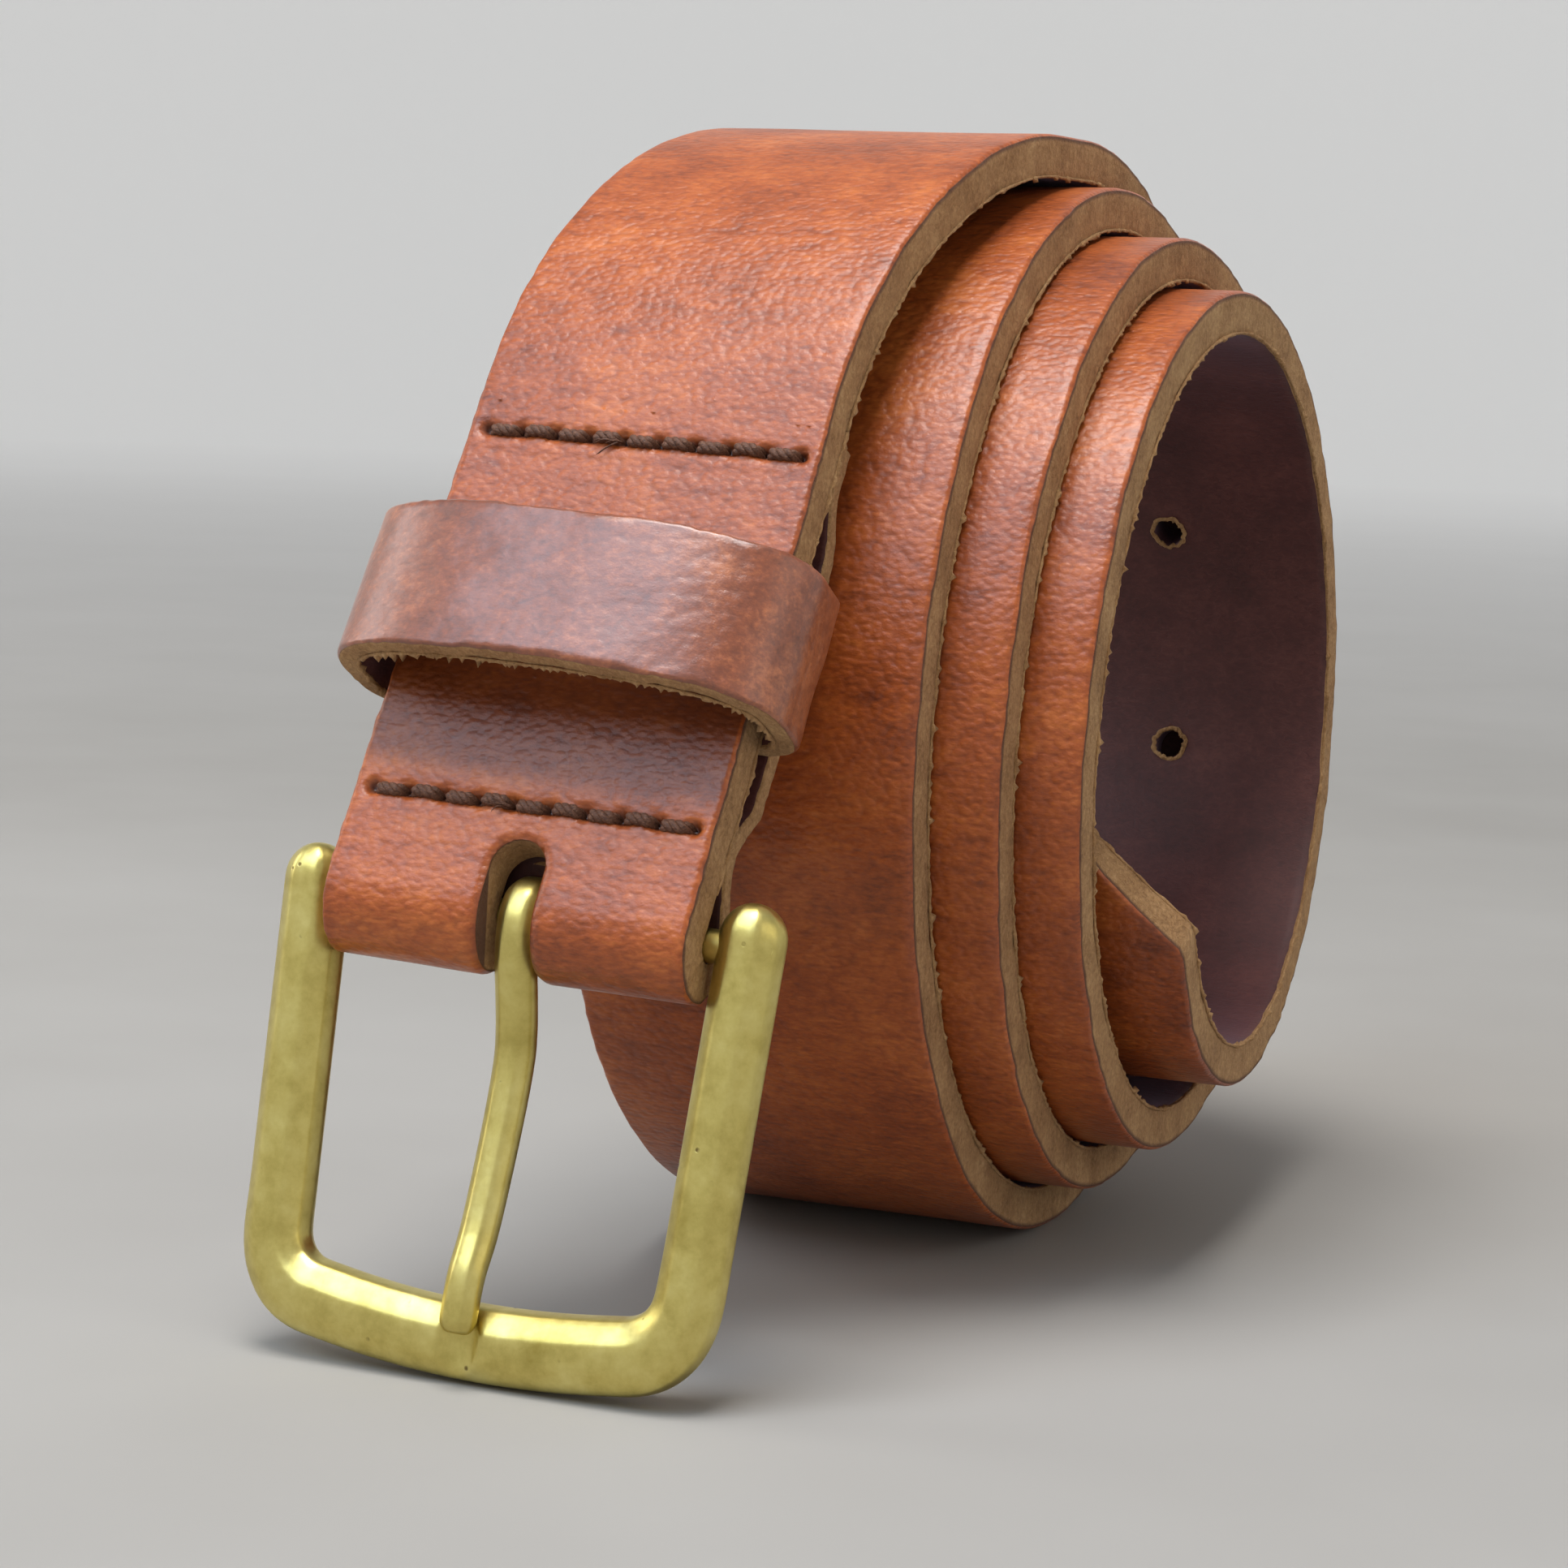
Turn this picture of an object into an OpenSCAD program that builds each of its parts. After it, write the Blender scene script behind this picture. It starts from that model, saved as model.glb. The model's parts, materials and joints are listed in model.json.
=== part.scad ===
// Leather dress belt, stored as a loose roll that stands on its edge.
// The strap is one piece of leather: cut tip, spiral turns, the run down to the buckle, the fold
// around the buckle bar and the layer turned back behind the front one. It is held as two solids,
// strap and strap_fold, which meet just above the slot for the prong.
// The origin is at the middle of the base of the whole part. +Z is up, the buckle faces -Y and
// the roll's axis lies along X.

/* [Strap] */
// Width of the strap
strap_w = 35; // [34:0.5:36]
// Thickness of the strap
strap_t = 4.3; // [3.8:0.1:4.3]
// Thickness of the skived layer turned back behind the buckle
back_t = 2.2; // [1.8:0.1:2.2]
// Bevel on the edges of the strap
edge_bevel = 0.4; // [0.2:0.1:0.8]
// Length of the pointed tip
tip_l = 14; // [8:1:18]
// Width of the blunt end of the tip
tip_flat = 9; // [6:1:14]

/* [Roll] */
// Number of turns from the top of the roll to the tip
turns = 3.72; // [3.7:0.01:3.76]
// Outside radius where the strap leaves the roll
roll_r = 57; // [57:0.5:60]
// Radius lost in each turn
turn_pitch = 4.8; // [4.7:0.05:4.9]
// Extra draw at the loose inner end
draw_in = 4; // [3:0.5:5]

/* [Buckle end] */
// Lean of the straight buckle end from upright, in degrees
end_lean = 30; // [29:0.5:31]
// Turn of the buckle end in its own plane, in degrees
end_skew = 2.2; // [0:0.1:3]
// Length of the straight end, down to the buckle bar
end_l = 49.5; // [49.5:0.5:54]
// Lean of the hanging buckle from upright, in degrees
buckle_lean = 11; // [10:0.5:13]
// Distance of the lower stitch row above the bar
row_low = 8.3; // [8:0.1:9]
// Distance of the upper stitch row above the bar
row_high = 44.5; // [44:0.1:45]
// Number of holes in each stitch row
stitch_holes = 10; // [8:1:12]
// Diameter of the sewing thread
thread_d = 1.1; // [0.8:0.1:1.3]

/* [Adjustment holes] */
// Number of adjustment holes
hole_count = 5; // [3:1:7]
// Diameter of an adjustment hole
hole_d = 4.4; // [3.5:0.1:5]
// Distance between adjustment holes
hole_pitch = 25.4; // [20:0.2:30]
// Turn at which the hole nearest the tip lies
hole_turn = 3.285; // [3.2:0.005:3.3]

/* [Buckle] */
// Outside width of the buckle
buckle_w = 48.8; // [48.6:0.1:50]
// Width of each side arm
arm_w = 6.3; // [5.8:0.1:6.3]
// Height of the bottom rail
rail_w = 7; // [6:0.2:7.4]
// Depth of the buckle frame, front to back
frame_d = 5; // [4.4:0.1:5.4]
// Distance from the bar to the middle of the bottom rail
frame_drop = 37; // [36.8:0.1:37.4]
// Diameter of the bar
bar_d = 3; // [2.8:0.1:3.2]
// Width of the prong
prong_w = 3.8; // [3.4:0.1:4]
// Thickness of the prong
prong_t = 2.8; // [2.4:0.1:3]
// Offset of the prong and its slot from the middle of the strap
prong_x = 0.3; // [-1:0.1:1.5]
// Width of the slot for the prong
slot_w = 5.3; // [5:0.1:6]

/* [Keeper] */
// Width of the keeper band along the strap
keeper_w = 14.4; // [12:0.4:14.4]
// Thickness of the keeper band
keeper_t = 2.2; // [2:0.1:2.2]
// Height of the middle of the keeper above the bar
keeper_v = 25.6; // [25.4:0.1:26.4]
// Turn of the keeper on the strap, in degrees
keeper_turn = 1; // [0:0.5:3]
// Room under the keeper for the strap's tip
keeper_room = 7.2; // [5:0.1:7.6]

/* [Hidden] */
$fn = 48;
cut = 20;                       // how far a cutter runs past what it cuts

// Colours
cognac = [0.66, 0.29, 0.14];
thread_brown = [0.22, 0.14, 0.10];
brass = [0.72, 0.62, 0.30];

// Roll: sideways shift of the strap at turns 0, 1, 2, 3 and 4, as the turns are pulled out
turn_shifts = [0, 4, 11.1, 17.1, 24.6];
steps_per_turn = 36;
draw_from = 2.75;               // turn at which the loose inner end starts to draw in
centre_x = 13.797;              // moves the middle of the whole part to x = 0
centre_y = 14.671;              // moves the middle of the whole part to y = 0
roll_z = roll_r - turn_pitch / 2;    // height of the axis of the roll, so that the turns stand on z = 0

function turn_radius(n) = roll_r - turn_pitch * n - draw_in * pow(max(0, n - draw_from), 2);
// Smooth curve through a list of values, at a fractional index
function list_at(v, i) = i < 0 ? 2 * v[0] - v[1] : i >= len(v) ? 2 * v[len(v) - 1] - v[len(v) - 2] : v[i];
function spline(a, b, c, d, f) = b + f * ((c - a) / 2 + f * ((2 * a - 5 * b + 4 * c - d) / 2
    + f * (3 * b - a - 3 * c + d) / 2));
function smooth_list(v, u) = let (i = min(floor(u), len(v) - 2))
    spline(list_at(v, i - 1), v[i], v[i + 1], list_at(v, i + 2), u - i);
function turn_shift(n) = smooth_list(turn_shifts, n);
function smooth(a, b, x) = let (f = min(1, max(0, (x - a) / (b - a)))) f * f * (3 - 2 * f);

// A station is [point on the grain side, direction across, outward normal, half width, thickness]
function tip_half_w(left) = min(strap_w / 2, tip_flat / 2 + left * (strap_w - tip_flat) / 2 / tip_l);
tip_turn = tip_l / (2 * PI * turn_radius(turns));       // part of a turn that the tip takes
function arc_left(n) = (turns - n) * 2 * PI * turn_radius(turns);
function roll_point(n) = [centre_x - strap_w / 2 + turn_shift(n), centre_y + turn_radius(n) * sin(360 * n),
    roll_z + turn_radius(n) * cos(360 * n)];
function roll_station(n) = [roll_point(n), [1, 0, 0], [0, sin(360 * n), cos(360 * n)],
    tip_half_w(arc_left(n)), strap_t];

// Run from the top of the roll down to the straight end
lead_l = 9.5;                   // level stretch at the top
bend_r = 52;                    // radius of the bend
bend_bow = 6.2;                 // sideways swing along the bend, in degrees
bend_steps = 16;
bend_turn = 90 - end_lean;
run_l = lead_l + bend_r * bend_turn * PI / 180;
function run_skew(f) = end_skew * f + bend_bow * sin(180 * f);
function run_drift(f) = run_l * (end_skew * PI / 180 * f * f / 2 + bend_bow / 180 * (1 - cos(180 * f)));
function run_point(f) = let (s = f * run_l, a = max(0, s - lead_l) / bend_r * 180 / PI)
    [centre_x - strap_w / 2 - run_drift(f), centre_y - min(s, lead_l) - bend_r * sin(a),
    roll_z + roll_r - bend_r * (1 - cos(a))];
function run_station(f) = let (a = max(0, f * run_l - lead_l) / bend_r * 180 / PI, k = run_skew(f))
    [run_point(f), [cos(k), -sin(k) * cos(a), -sin(k) * sin(a)], [0, -sin(a), cos(a)], strap_w / 2, strap_t];

// The straight end has its own frame: u across, v up along the strap, w out of its front face,
// with the bar at its origin
across = [cos(end_skew), -sin(end_skew) * sin(end_lean), -sin(end_skew) * cos(end_lean)];
outward = [0, -cos(end_lean), sin(end_lean)];
upward = [sin(end_skew), cos(end_skew) * sin(end_lean), cos(end_skew) * cos(end_lean)];
fold_gap = 0.1;
fold_r = bar_d / 2 + fold_gap;
face_w = fold_r + strap_t;      // front face of the strap
bar_at = run_point(1) - end_l * upward - face_w * outward;
function end_point(v, w) = bar_at + v * upward + w * outward;
function end_station(v, w, nv, nw, t) = [end_point(v, w), across, nv * upward + nw * outward, strap_w / 2, t];

// Fold around the bar, then the turned-back layer, which is parted by the keeper between the rows
fold_steps = 12;
layer_gap = 0.1;
keeper_gap = 0.4;
slide = 2.5;                    // travel of the keeper each way
keeper_clear = 1.8;             // room along the strap past the keeper's turned corners
hump_w = fold_r - keeper_gap - keeper_t - keeper_gap;
joined_w = fold_r - layer_gap;
hump_from = keeper_v - keeper_w / 2 - slide - keeper_clear;
hump_to = keeper_v + keeper_w / 2 + slide + keeper_clear;
back_end = end_l - 1;
back_step = 1.5;
end_steps = 5;
fold_top = slot_w + 1.4;        // top of the fold's own solid
thin_from = 60;                 // angle round the fold at which the skiving starts
function back_w(v) = -fold_r + (joined_w + fold_r) * smooth(0, row_low, v)
    - (joined_w - hump_w) * (smooth(row_low, hump_from, v) - smooth(hump_to, row_high, v));
function fold_t(a) = strap_t + (back_t - strap_t) * smooth(thin_from, 180, a);

tip_steps = 4;
tip_stations = [for (i = [0:tip_steps - 1]) roll_station(turns - tip_turn * i / tip_steps)];
roll_first = floor((turns - tip_turn) * steps_per_turn);
roll_stations = [for (i = [roll_first:-1:1]) roll_station(i / steps_per_turn)];
run_stations = [for (i = [0:bend_steps]) run_station(i / bend_steps)];
// The straight end stops just above the slot, where the fold's own solid begins
end_stations = [for (i = [1:end_steps])
    end_station(end_l + (fold_top - end_l) * i / end_steps, face_w, 0, 1, strap_t)];
strap_stations = concat(tip_stations, roll_stations, run_stations, end_stations);

bend_stations = [for (i = [0:fold_steps]) let (a = 180 * i / fold_steps, r = fold_r + fold_t(a))
    end_station(-r * sin(a), r * cos(a), -sin(a), cos(a), fold_t(a))];
back_stations = [for (v = [back_step:back_step:back_end]) end_station(v, back_w(v) - back_t, 0, -1, back_t)];
fold_stations = concat([end_station(fold_top, face_w, 0, 1, strap_t)], bend_stations, back_stations);

// Bevelled cross-section, as [side, depth] pairs around the strap
function strap_section(h, t) = let (b = edge_bevel)
    [[-h + b, 0], [h - b, 0], [h, b], [h, t - b], [h - b, t], [-h + b, t], [-h, t - b], [-h, b]];
function strap_ring(s) = [for (c = strap_section(s[3], s[4])) s[0] + c[0] * s[1] - c[1] * s[2]];

// Skins a list of rings, closed into a loop or capped at both ends
module skin(rings, looped = false) {
    m = len(rings[0]);
    k = len(rings);
    last = looped ? k - 1 : k - 2;
    sides = [for (i = [0:last]) for (j = [0:m - 1]) for (half = [0, 1])
        let (a = i * m, b = (i + 1) % k * m, p = j, q = (j + 1) % m)
        half == 0 ? [a + p, a + q, b + q] : [a + p, b + q, b + p]];
    caps = looped ? [] : [[for (j = [m - 1:-1:0]) j], [for (j = [0:m - 1]) (k - 1) * m + j]];
    polyhedron(points = [for (r = rings) for (p = r) p], faces = concat(sides, caps), convexity = 10);
}

// Places children on the straight end: X across, Z up the strap, -Y out of its front face
module on_end() {
    translate(bar_at) rotate([-end_lean, 0, 0]) rotate([0, end_skew, 0]) children();
}

// Places children on the hanging buckle
module on_buckle() {
    on_end() rotate([end_lean - buckle_lean, 0, 0]) children();
}

// Cylinder along local X or along local Y, centred
module rod_x(r, l) {
    rotate([0, 90, 0]) cylinder(r = r, h = l, center = true);
}
module rod_y(r, l) {
    rotate([90, 0, 0]) cylinder(r = r, h = l, center = true);
}

// Slot through both layers of the fold, with a round top end
module prong_slot() {
    top = slot_w / 2;
    translate([prong_x, 0, 0]) {
        translate([-slot_w / 2, -cut / 2, -cut / 2]) cube([slot_w, cut, cut / 2 + top]);
        translate([0, 0, top]) rod_y(slot_w / 2, cut);
    }
}

// Round holes punched square through the strap, near its tip
punch_past = 0.6;               // how far a punch runs past both faces together
module adjustment_holes() {
    r = turn_radius(hole_turn) - strap_t / 2;
    punch_l = strap_t + punch_past;
    for (i = [0:hole_count - 1]) {
        n = hole_turn - i * hole_pitch / (2 * PI * r);
        translate([roll_point(n)[0], centre_y, roll_z]) rotate([-360 * n, 0, 0])
            translate([0, 0, turn_radius(n) - strap_t / 2]) cylinder(d = hole_d, h = punch_l, center = true);
    }
}

module strap() {
    color(cognac) difference() {
        skin([for (s = strap_stations) strap_ring(s)]);
        adjustment_holes();
    }
}

// The same leather goes on round the bar and up behind the front layer
module strap_fold() {
    color(cognac) difference() {
        skin([for (s = fold_stations) strap_ring(s)]);
        on_end() prong_slot();
    }
}

// One row of saddle stitches: a run on the front, a run on the back and a thread in each hole
stitch_margin = 1.9;            // from the strap's edge to the first hole
sink = 0.15;                    // how far the middle of the thread stands off the leather
module stitch_row(v) {
    span = strap_w - 2 * stitch_margin;
    front = face_w + sink;
    back = back_w(v) - back_t - sink;
    on_end() translate([0, 0, v]) {
        translate([0, -front, 0]) rod_x(thread_d / 2, span + thread_d);
        translate([0, -back, 0]) rod_x(thread_d / 2, span + thread_d);
        for (i = [0:stitch_holes - 1])
            translate([-span / 2 + i * span / (stitch_holes - 1), -(front + back) / 2, 0])
                rod_y(thread_d / 2, front - back);
    }
}

module upper_stitching() {
    color(thread_brown) stitch_row(row_high);
}
module lower_stitching() {
    color(thread_brown) stitch_row(row_low);
}

// Keeper: a closed band around the front layer, arched in front to make room for the tip
keeper_side = 2;              // room beside the strap's edges
keeper_half = strap_w / 2 + keeper_side;
keeper_rise = 0.6;              // height above the strap's face at which the band is widest
keeper_mid_w = face_w + keeper_rise;
keeper_back_w = fold_r - keeper_gap;
keeper_steps = 72;
arch_power = 2.5;
back_power = 8;
function power_cos(a, p) = sign(cos(a)) * pow(abs(cos(a)), 2 / p);
function power_sin(a, p) = sign(sin(a)) * pow(abs(sin(a)), 2 / p);
function keeper_inner(a) = let (p = a < 180 ? arch_power : back_power,
    h = a < 180 ? face_w + keeper_room - keeper_mid_w : keeper_mid_w - keeper_back_w)
    [keeper_half * power_cos(a, p), keeper_mid_w + h * power_sin(a, p)];
function keeper_normal(a) = let (d = keeper_inner(a + 1) - keeper_inner(a - 1)) [d[1], -d[0]] / norm(d);
function keeper_ring(a) = let (p = keeper_inner(a), q = p + keeper_t * keeper_normal(a), h = keeper_w / 2)
    [[p[0], -p[1], -h], [q[0], -q[1], -h], [q[0], -q[1], h], [p[0], -p[1], h]];

module on_keeper() {
    on_end() translate([0, 0, keeper_v]) rotate([0, keeper_turn, 0]) children();
}

module keeper_loop() {
    color(cognac) on_keeper()
        skin([for (i = [0:keeper_steps - 1]) keeper_ring(360 * (i + 0.5) / keeper_steps)], looped = true);
}

// Three thread rings sunk in the band's back run, where its two ends meet
join_thread_d = 0.5;
join_pitch = 4;
module keeper_stitching() {
    ring_r = keeper_t / 2 - join_thread_d / 2;
    color(thread_brown) on_keeper() translate([0, -(keeper_back_w - keeper_t / 2), 0])
        for (i = [-1:1]) translate([0, 0, i * join_pitch])
            rotate_extrude() translate([ring_r, 0]) circle(d = join_thread_d, $fn = 16);
}

// Buckle frame: a rounded bar swept down one arm, along the bowed rail and up the other arm
arm_top = 1;                    // straight part of an arm above the bar
arm_draw = 1.3;                 // each arm leans in by this much on its way down to the rail
corner_r = 5.5;
rail_bow = 1.2;
arm_x = (buckle_w - arm_w) / 2;
frame_front = 2.7;              // front of the frame, measured from the bar
section_steps = 16;
section_power = 2.8;
corner_steps = 8;
rail_steps = 8;
cap_steps = [0, 15, 35, 55, 75, 90];     // angles of the rings that round an arm's end
cap_min = 0.2;                  // half size of the first ring of an end
cap_power = 0.7;
bar_fit = 0.05;                 // running clearance of the prong on the bar
corner_v = -frame_drop + corner_r + rail_bow;
// A frame station is [across, up, half width, half depth]
function arm_cap(side) = [for (a = cap_steps) [side * arm_x, arm_top + arm_w / 2 * cos(a),
    max(cap_min, arm_w / 2 * sin(a)), max(cap_min, frame_d / 2 * pow(sin(a), cap_power))]];
function corner(side) = [for (i = [0:corner_steps]) let (a = 90 * i / corner_steps)
    [side * (arm_x - corner_r * (1 - cos(a))), corner_v - corner_r * sin(a),
    (arm_w + (rail_w - arm_w) * a / 90) / 2, frame_d / 2]];
rail_half = arm_x - corner_r;
rail = [for (i = [1:rail_steps - 1]) let (x = -rail_half + 2 * rail_half * i / rail_steps)
    [x, corner_v - corner_r - rail_bow * (1 - pow(x / rail_half, 2)), rail_w / 2, frame_d / 2]];
function drawn_in(v) = 1 - arm_draw / arm_x * max(0, arm_top - v) / frame_drop;
function reversed(v) = [for (i = [len(v) - 1:-1:0]) v[i]];
function frame_ring(s, turn) = [for (j = [0:section_steps - 1]) let (a = 360 * j / section_steps,
    h = s[2] * power_cos(a, section_power), d = s[3] * power_sin(a, section_power))
    [s[0] * drawn_in(s[1]) + h * cos(turn), -(frame_front - frame_d / 2) - d, s[1] + h * sin(turn)]];
frame_stations = concat(arm_cap(-1), corner(-1), rail, reversed(corner(1)), reversed(arm_cap(1)));
last_station = len(frame_stations) - 1;
// Direction of the section at a station: it turns through 180 degrees from one arm to the other
function frame_turn(i) = let (p = frame_stations[max(0, i - 1)], q = frame_stations[min(last_station, i + 1)])
    atan2(q[1] - p[1], q[0] - p[0]) + 90;

notch_r = 2.6;
notch_depth = 0.9;
module buckle_frame() {
    color(brass) on_buckle() difference() {
        skin([for (i = [0:last_station]) frame_ring(frame_stations[i], frame_turn(i))]);
        rod_x(bar_d / 2, buckle_w + cut);
        translate([prong_x, -frame_front - notch_r + notch_depth, -frame_drop + rail_w / 2])
            cylinder(r = notch_r, h = rail_w, center = true);
    }
}

bar_inset = 0.6;                // the bar's ends lie a little inside the arms' outer faces
module buckle_bar() {
    color(brass) on_buckle() rod_x(bar_d / 2, buckle_w - 2 * bar_inset);
}

// Prong: a bored eye on the bar and a blade that dips into the window and rests in the notch.
// The path is a list of [up, out] points in the buckle's own frame
eye_wall = 2.3;
eye_w = 3.9;
eye_r = bar_d / 2 + eye_wall;
tip_short = 0.9;                // the prong stops this much short of the middle of the rail
tip_v = tip_short - frame_drop;
rest_gap = 0.1;
rest_w = frame_front - notch_depth + prong_t / 2 + rest_gap;
blade_path = [[1.2, 2.3], [-1.5, 2.4], [-4, 1.8], [-7, 0.8], [-10, -0.1], [-13, -0.4], [-19, 0.2], [-27, 1.6],
    [tip_v + 5, rest_w - 0.3], [tip_v + 1.5, rest_w], [tip_v, rest_w]];
blade_scale = [0.8, 1, 1, 1, 1, 1, 1, 0.97, 0.93, 0.85, 0.45];
function blade_ring(i) = let (p = blade_path[i], a = blade_path[max(0, i - 1)],
    b = blade_path[min(len(blade_path) - 1, i + 1)], d = (b - a) / norm(b - a), k = blade_scale[i])
    [for (j = [0:section_steps - 1]) let (g = -360 * j / section_steps,
        x = k * prong_w / 2 * power_cos(g, section_power), y = k * prong_t / 2 * power_sin(g, section_power))
        [x, -(p[1] - y * d[0]), p[0] + y * d[1]]];
module prong() {
    color(brass) on_buckle() translate([prong_x, 0, 0]) difference() {
        union() {
            rod_x(eye_r, eye_w);
            skin([for (i = [0:len(blade_path) - 1]) blade_ring(i)]);
        }
        rod_x(bar_d / 2 + bar_fit, cut);
    }
}

strap();
strap_fold();
upper_stitching();
lower_stitching();
keeper_loop();
keeper_stitching();
buckle_frame();
buckle_bar();
prong();
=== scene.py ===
"""Looks of the leather dress belt: a cognac strap kept as a loose roll, with a satin brass buckle.

Everything is worked out in millimetres from the buckle's joint and the belt's driving dimensions,
and is scaled to metres when a mesh is made. On the straight buckle end, u runs across the strap,
v runs up from the bar and w runs out of the front face.
"""
import json
import math
from functools import partial

import bpy
import numpy as np
from mathutils import Matrix, Vector
from mathutils.kdtree import KDTree


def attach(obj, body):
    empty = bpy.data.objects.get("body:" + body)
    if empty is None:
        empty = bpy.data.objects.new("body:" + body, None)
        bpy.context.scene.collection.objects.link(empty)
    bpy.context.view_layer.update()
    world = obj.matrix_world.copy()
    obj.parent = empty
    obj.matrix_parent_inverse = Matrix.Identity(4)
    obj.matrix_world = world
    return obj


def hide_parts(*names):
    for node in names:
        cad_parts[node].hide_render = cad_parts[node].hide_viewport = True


MM = 0.001
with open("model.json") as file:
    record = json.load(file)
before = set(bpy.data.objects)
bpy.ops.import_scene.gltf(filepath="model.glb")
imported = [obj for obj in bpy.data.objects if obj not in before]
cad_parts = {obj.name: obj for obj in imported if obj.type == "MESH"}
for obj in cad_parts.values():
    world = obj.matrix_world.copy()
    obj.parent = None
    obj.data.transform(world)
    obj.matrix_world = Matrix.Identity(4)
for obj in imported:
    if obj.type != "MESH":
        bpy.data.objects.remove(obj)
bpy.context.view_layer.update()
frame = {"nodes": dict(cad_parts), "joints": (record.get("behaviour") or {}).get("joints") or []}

# ---------------- driving dimensions, as the frame's
JOINTS = {joint["name"]: joint for joint in frame["joints"]}
BAR = np.array(JOINTS["buckle_swing"]["pos_m"]) / MM
ACROSS = np.array(JOINTS["buckle_swing"]["axis"], float)
UPWARD = np.array(JOINTS["keeper_slide"]["axis"], float)
OUTWARD = np.cross(ACROSS, UPWARD)

STRAP_W, STRAP_T, BACK_T = 35.0, 4.3, 2.2
TIP_L, TIP_FLAT = 14.0, 9.0
TURNS, ROLL_R, TURN_PITCH, DRAW_IN, DRAW_FROM = 3.72, 57.0, 4.8, 4.0, 2.75
TURN_SHIFTS = (0, 4, 11.1, 17.1, 24.6)
LEAD_L, BEND_R, BEND_TURN, BEND_BOW, END_SKEW = 9.5, 52.0, math.radians(60), 6.2, 2.2
END_L, ROW_LOW, ROW_HIGH, STITCH_HOLES, STITCH_MARGIN = 49.5, 8.3, 44.5, 10, 1.9
BAR_R, FOLD_GAP, LAYER_GAP, KEEPER_GAP = 1.5, 0.1, 0.1, 0.4
HOLE_COUNT, HOLE_D, HOLE_PITCH, HOLE_TURN = 5, 4.4, 25.4, 3.285
BUCKLE_LEAN = math.radians(19)  # turn of the hanging buckle against the strap's end
BUCKLE_W, ARM_W, RAIL_W, FRAME_D, FRAME_FRONT, FRAME_DROP = 48.8, 6.3, 7.0, 5.0, 2.7, 37.0
CORNER_R, RAIL_BOW, ARM_TOP, ARM_DRAW = 5.5, 1.2, 1.0, 1.3
PRONG_X, PRONG_W, SLOT_W = 0.3, 3.8, 5.3
NOTCH_R, NOTCH_DEPTH = 2.6, 0.9
KEEPER_W, KEEPER_T, KEEPER_V, KEEPER_TURN = 14.4, 2.2, 25.6, math.radians(1)
KEEPER_ROOM, KEEPER_SIDE, KEEPER_RISE, SLIDE, KEEPER_CLEAR = 7.2, 2.0, 0.6, 2.5, 1.8

FOLD_R = BAR_R + FOLD_GAP
FACE_W = FOLD_R + STRAP_T
KEEPER_BACK_W = FOLD_R - KEEPER_GAP
RUN_L = LEAD_L + BEND_R * BEND_TURN
HALF_W = STRAP_W / 2


# ---------------- small number helpers
def smooth(low, high, x):
    """Smooth step from 0 at low to 1 at high."""
    f = np.clip((np.asarray(x, float) - low) / (high - low), 0, 1)
    return f * f * (3 - 2 * f)


def catmull(values, at):
    """Smooth curve through a list of numbers or points, at fractional indexes."""
    values = np.asarray(values, float)
    ends = np.concatenate([[2 * values[0] - values[1]], values, [2 * values[-1] - values[-2]]])
    at = np.asarray(at, float)
    i = np.clip(np.floor(at).astype(int), 0, len(values) - 2)
    f = at - i
    if values.ndim > 1:
        f = f[..., None]
    a, b, c, d = ends[i], ends[i + 1], ends[i + 2], ends[i + 3]
    bend = (2 * a - 5 * b + 4 * c - d) / 2 + f * (3 * b - a - 3 * c + d) / 2
    return b + f * ((c - a) / 2 + f * bend)


def rough_line(x, step, seed):
    """Smooth seeded noise from -1 to 1 along a line, with one random value each step."""
    x = np.asarray(x, float) / step
    table = np.random.RandomState(seed).uniform(-1, 1, 4096)
    i = np.floor(x).astype(int)
    f = x - i
    f = f * f * (3 - 2 * f)
    return table[i % 4096] * (1 - f) + table[(i + 1) % 4096] * f


def rough_area(x, y, step, seed):
    """Smooth seeded noise from -1 to 1 over a plane."""
    x, y = np.broadcast_arrays(np.asarray(x, float) / step, np.asarray(y, float) / step)
    table = np.random.RandomState(seed).uniform(-1, 1, (256, 256))
    i, j = np.floor(x).astype(int), np.floor(y).astype(int)
    f, g = x - i, y - j
    f, g = f * f * (3 - 2 * f), g * g * (3 - 2 * g)
    i, j, k, m = i % 256, j % 256, (i + 1) % 256, (j + 1) % 256
    low = table[i, j] * (1 - f) + table[k, j] * f
    high = table[i, m] * (1 - f) + table[k, m] * f
    return low * (1 - g) + high * g


def circle(count):
    """Even angles round a full turn."""
    return np.linspace(0, 2 * np.pi, count, endpoint=False)


def unit(v):
    """Vectors scaled to a length of 1."""
    return v / np.linalg.norm(v, axis=-1, keepdims=True)


def length_along(points):
    """Distance from the start of a line of points to each of them."""
    return np.concatenate([[0], np.cumsum(np.linalg.norm(np.diff(points, axis=0), axis=1))])


def spaced(points, reach, marks):
    """Points of a flat line at the marks, where reach is the distance along it to each point."""
    return np.stack([np.interp(marks, reach, points[:, k]) for k in (0, 1)], -1)


# ---------------- places
def turned(first, second, angle):
    """Two crossed unit vectors, turned by an angle from the first towards the second."""
    c, s = math.cos(angle), math.sin(angle)
    return c * first + s * second, c * second - s * first


def placed(origin, across, up, out, u, v, w):
    """A point u across, v up and w out from an origin."""
    u, v, w = np.broadcast_arrays(u, v, w)
    return origin + u[..., None] * across + v[..., None] * up + w[..., None] * out


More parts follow.
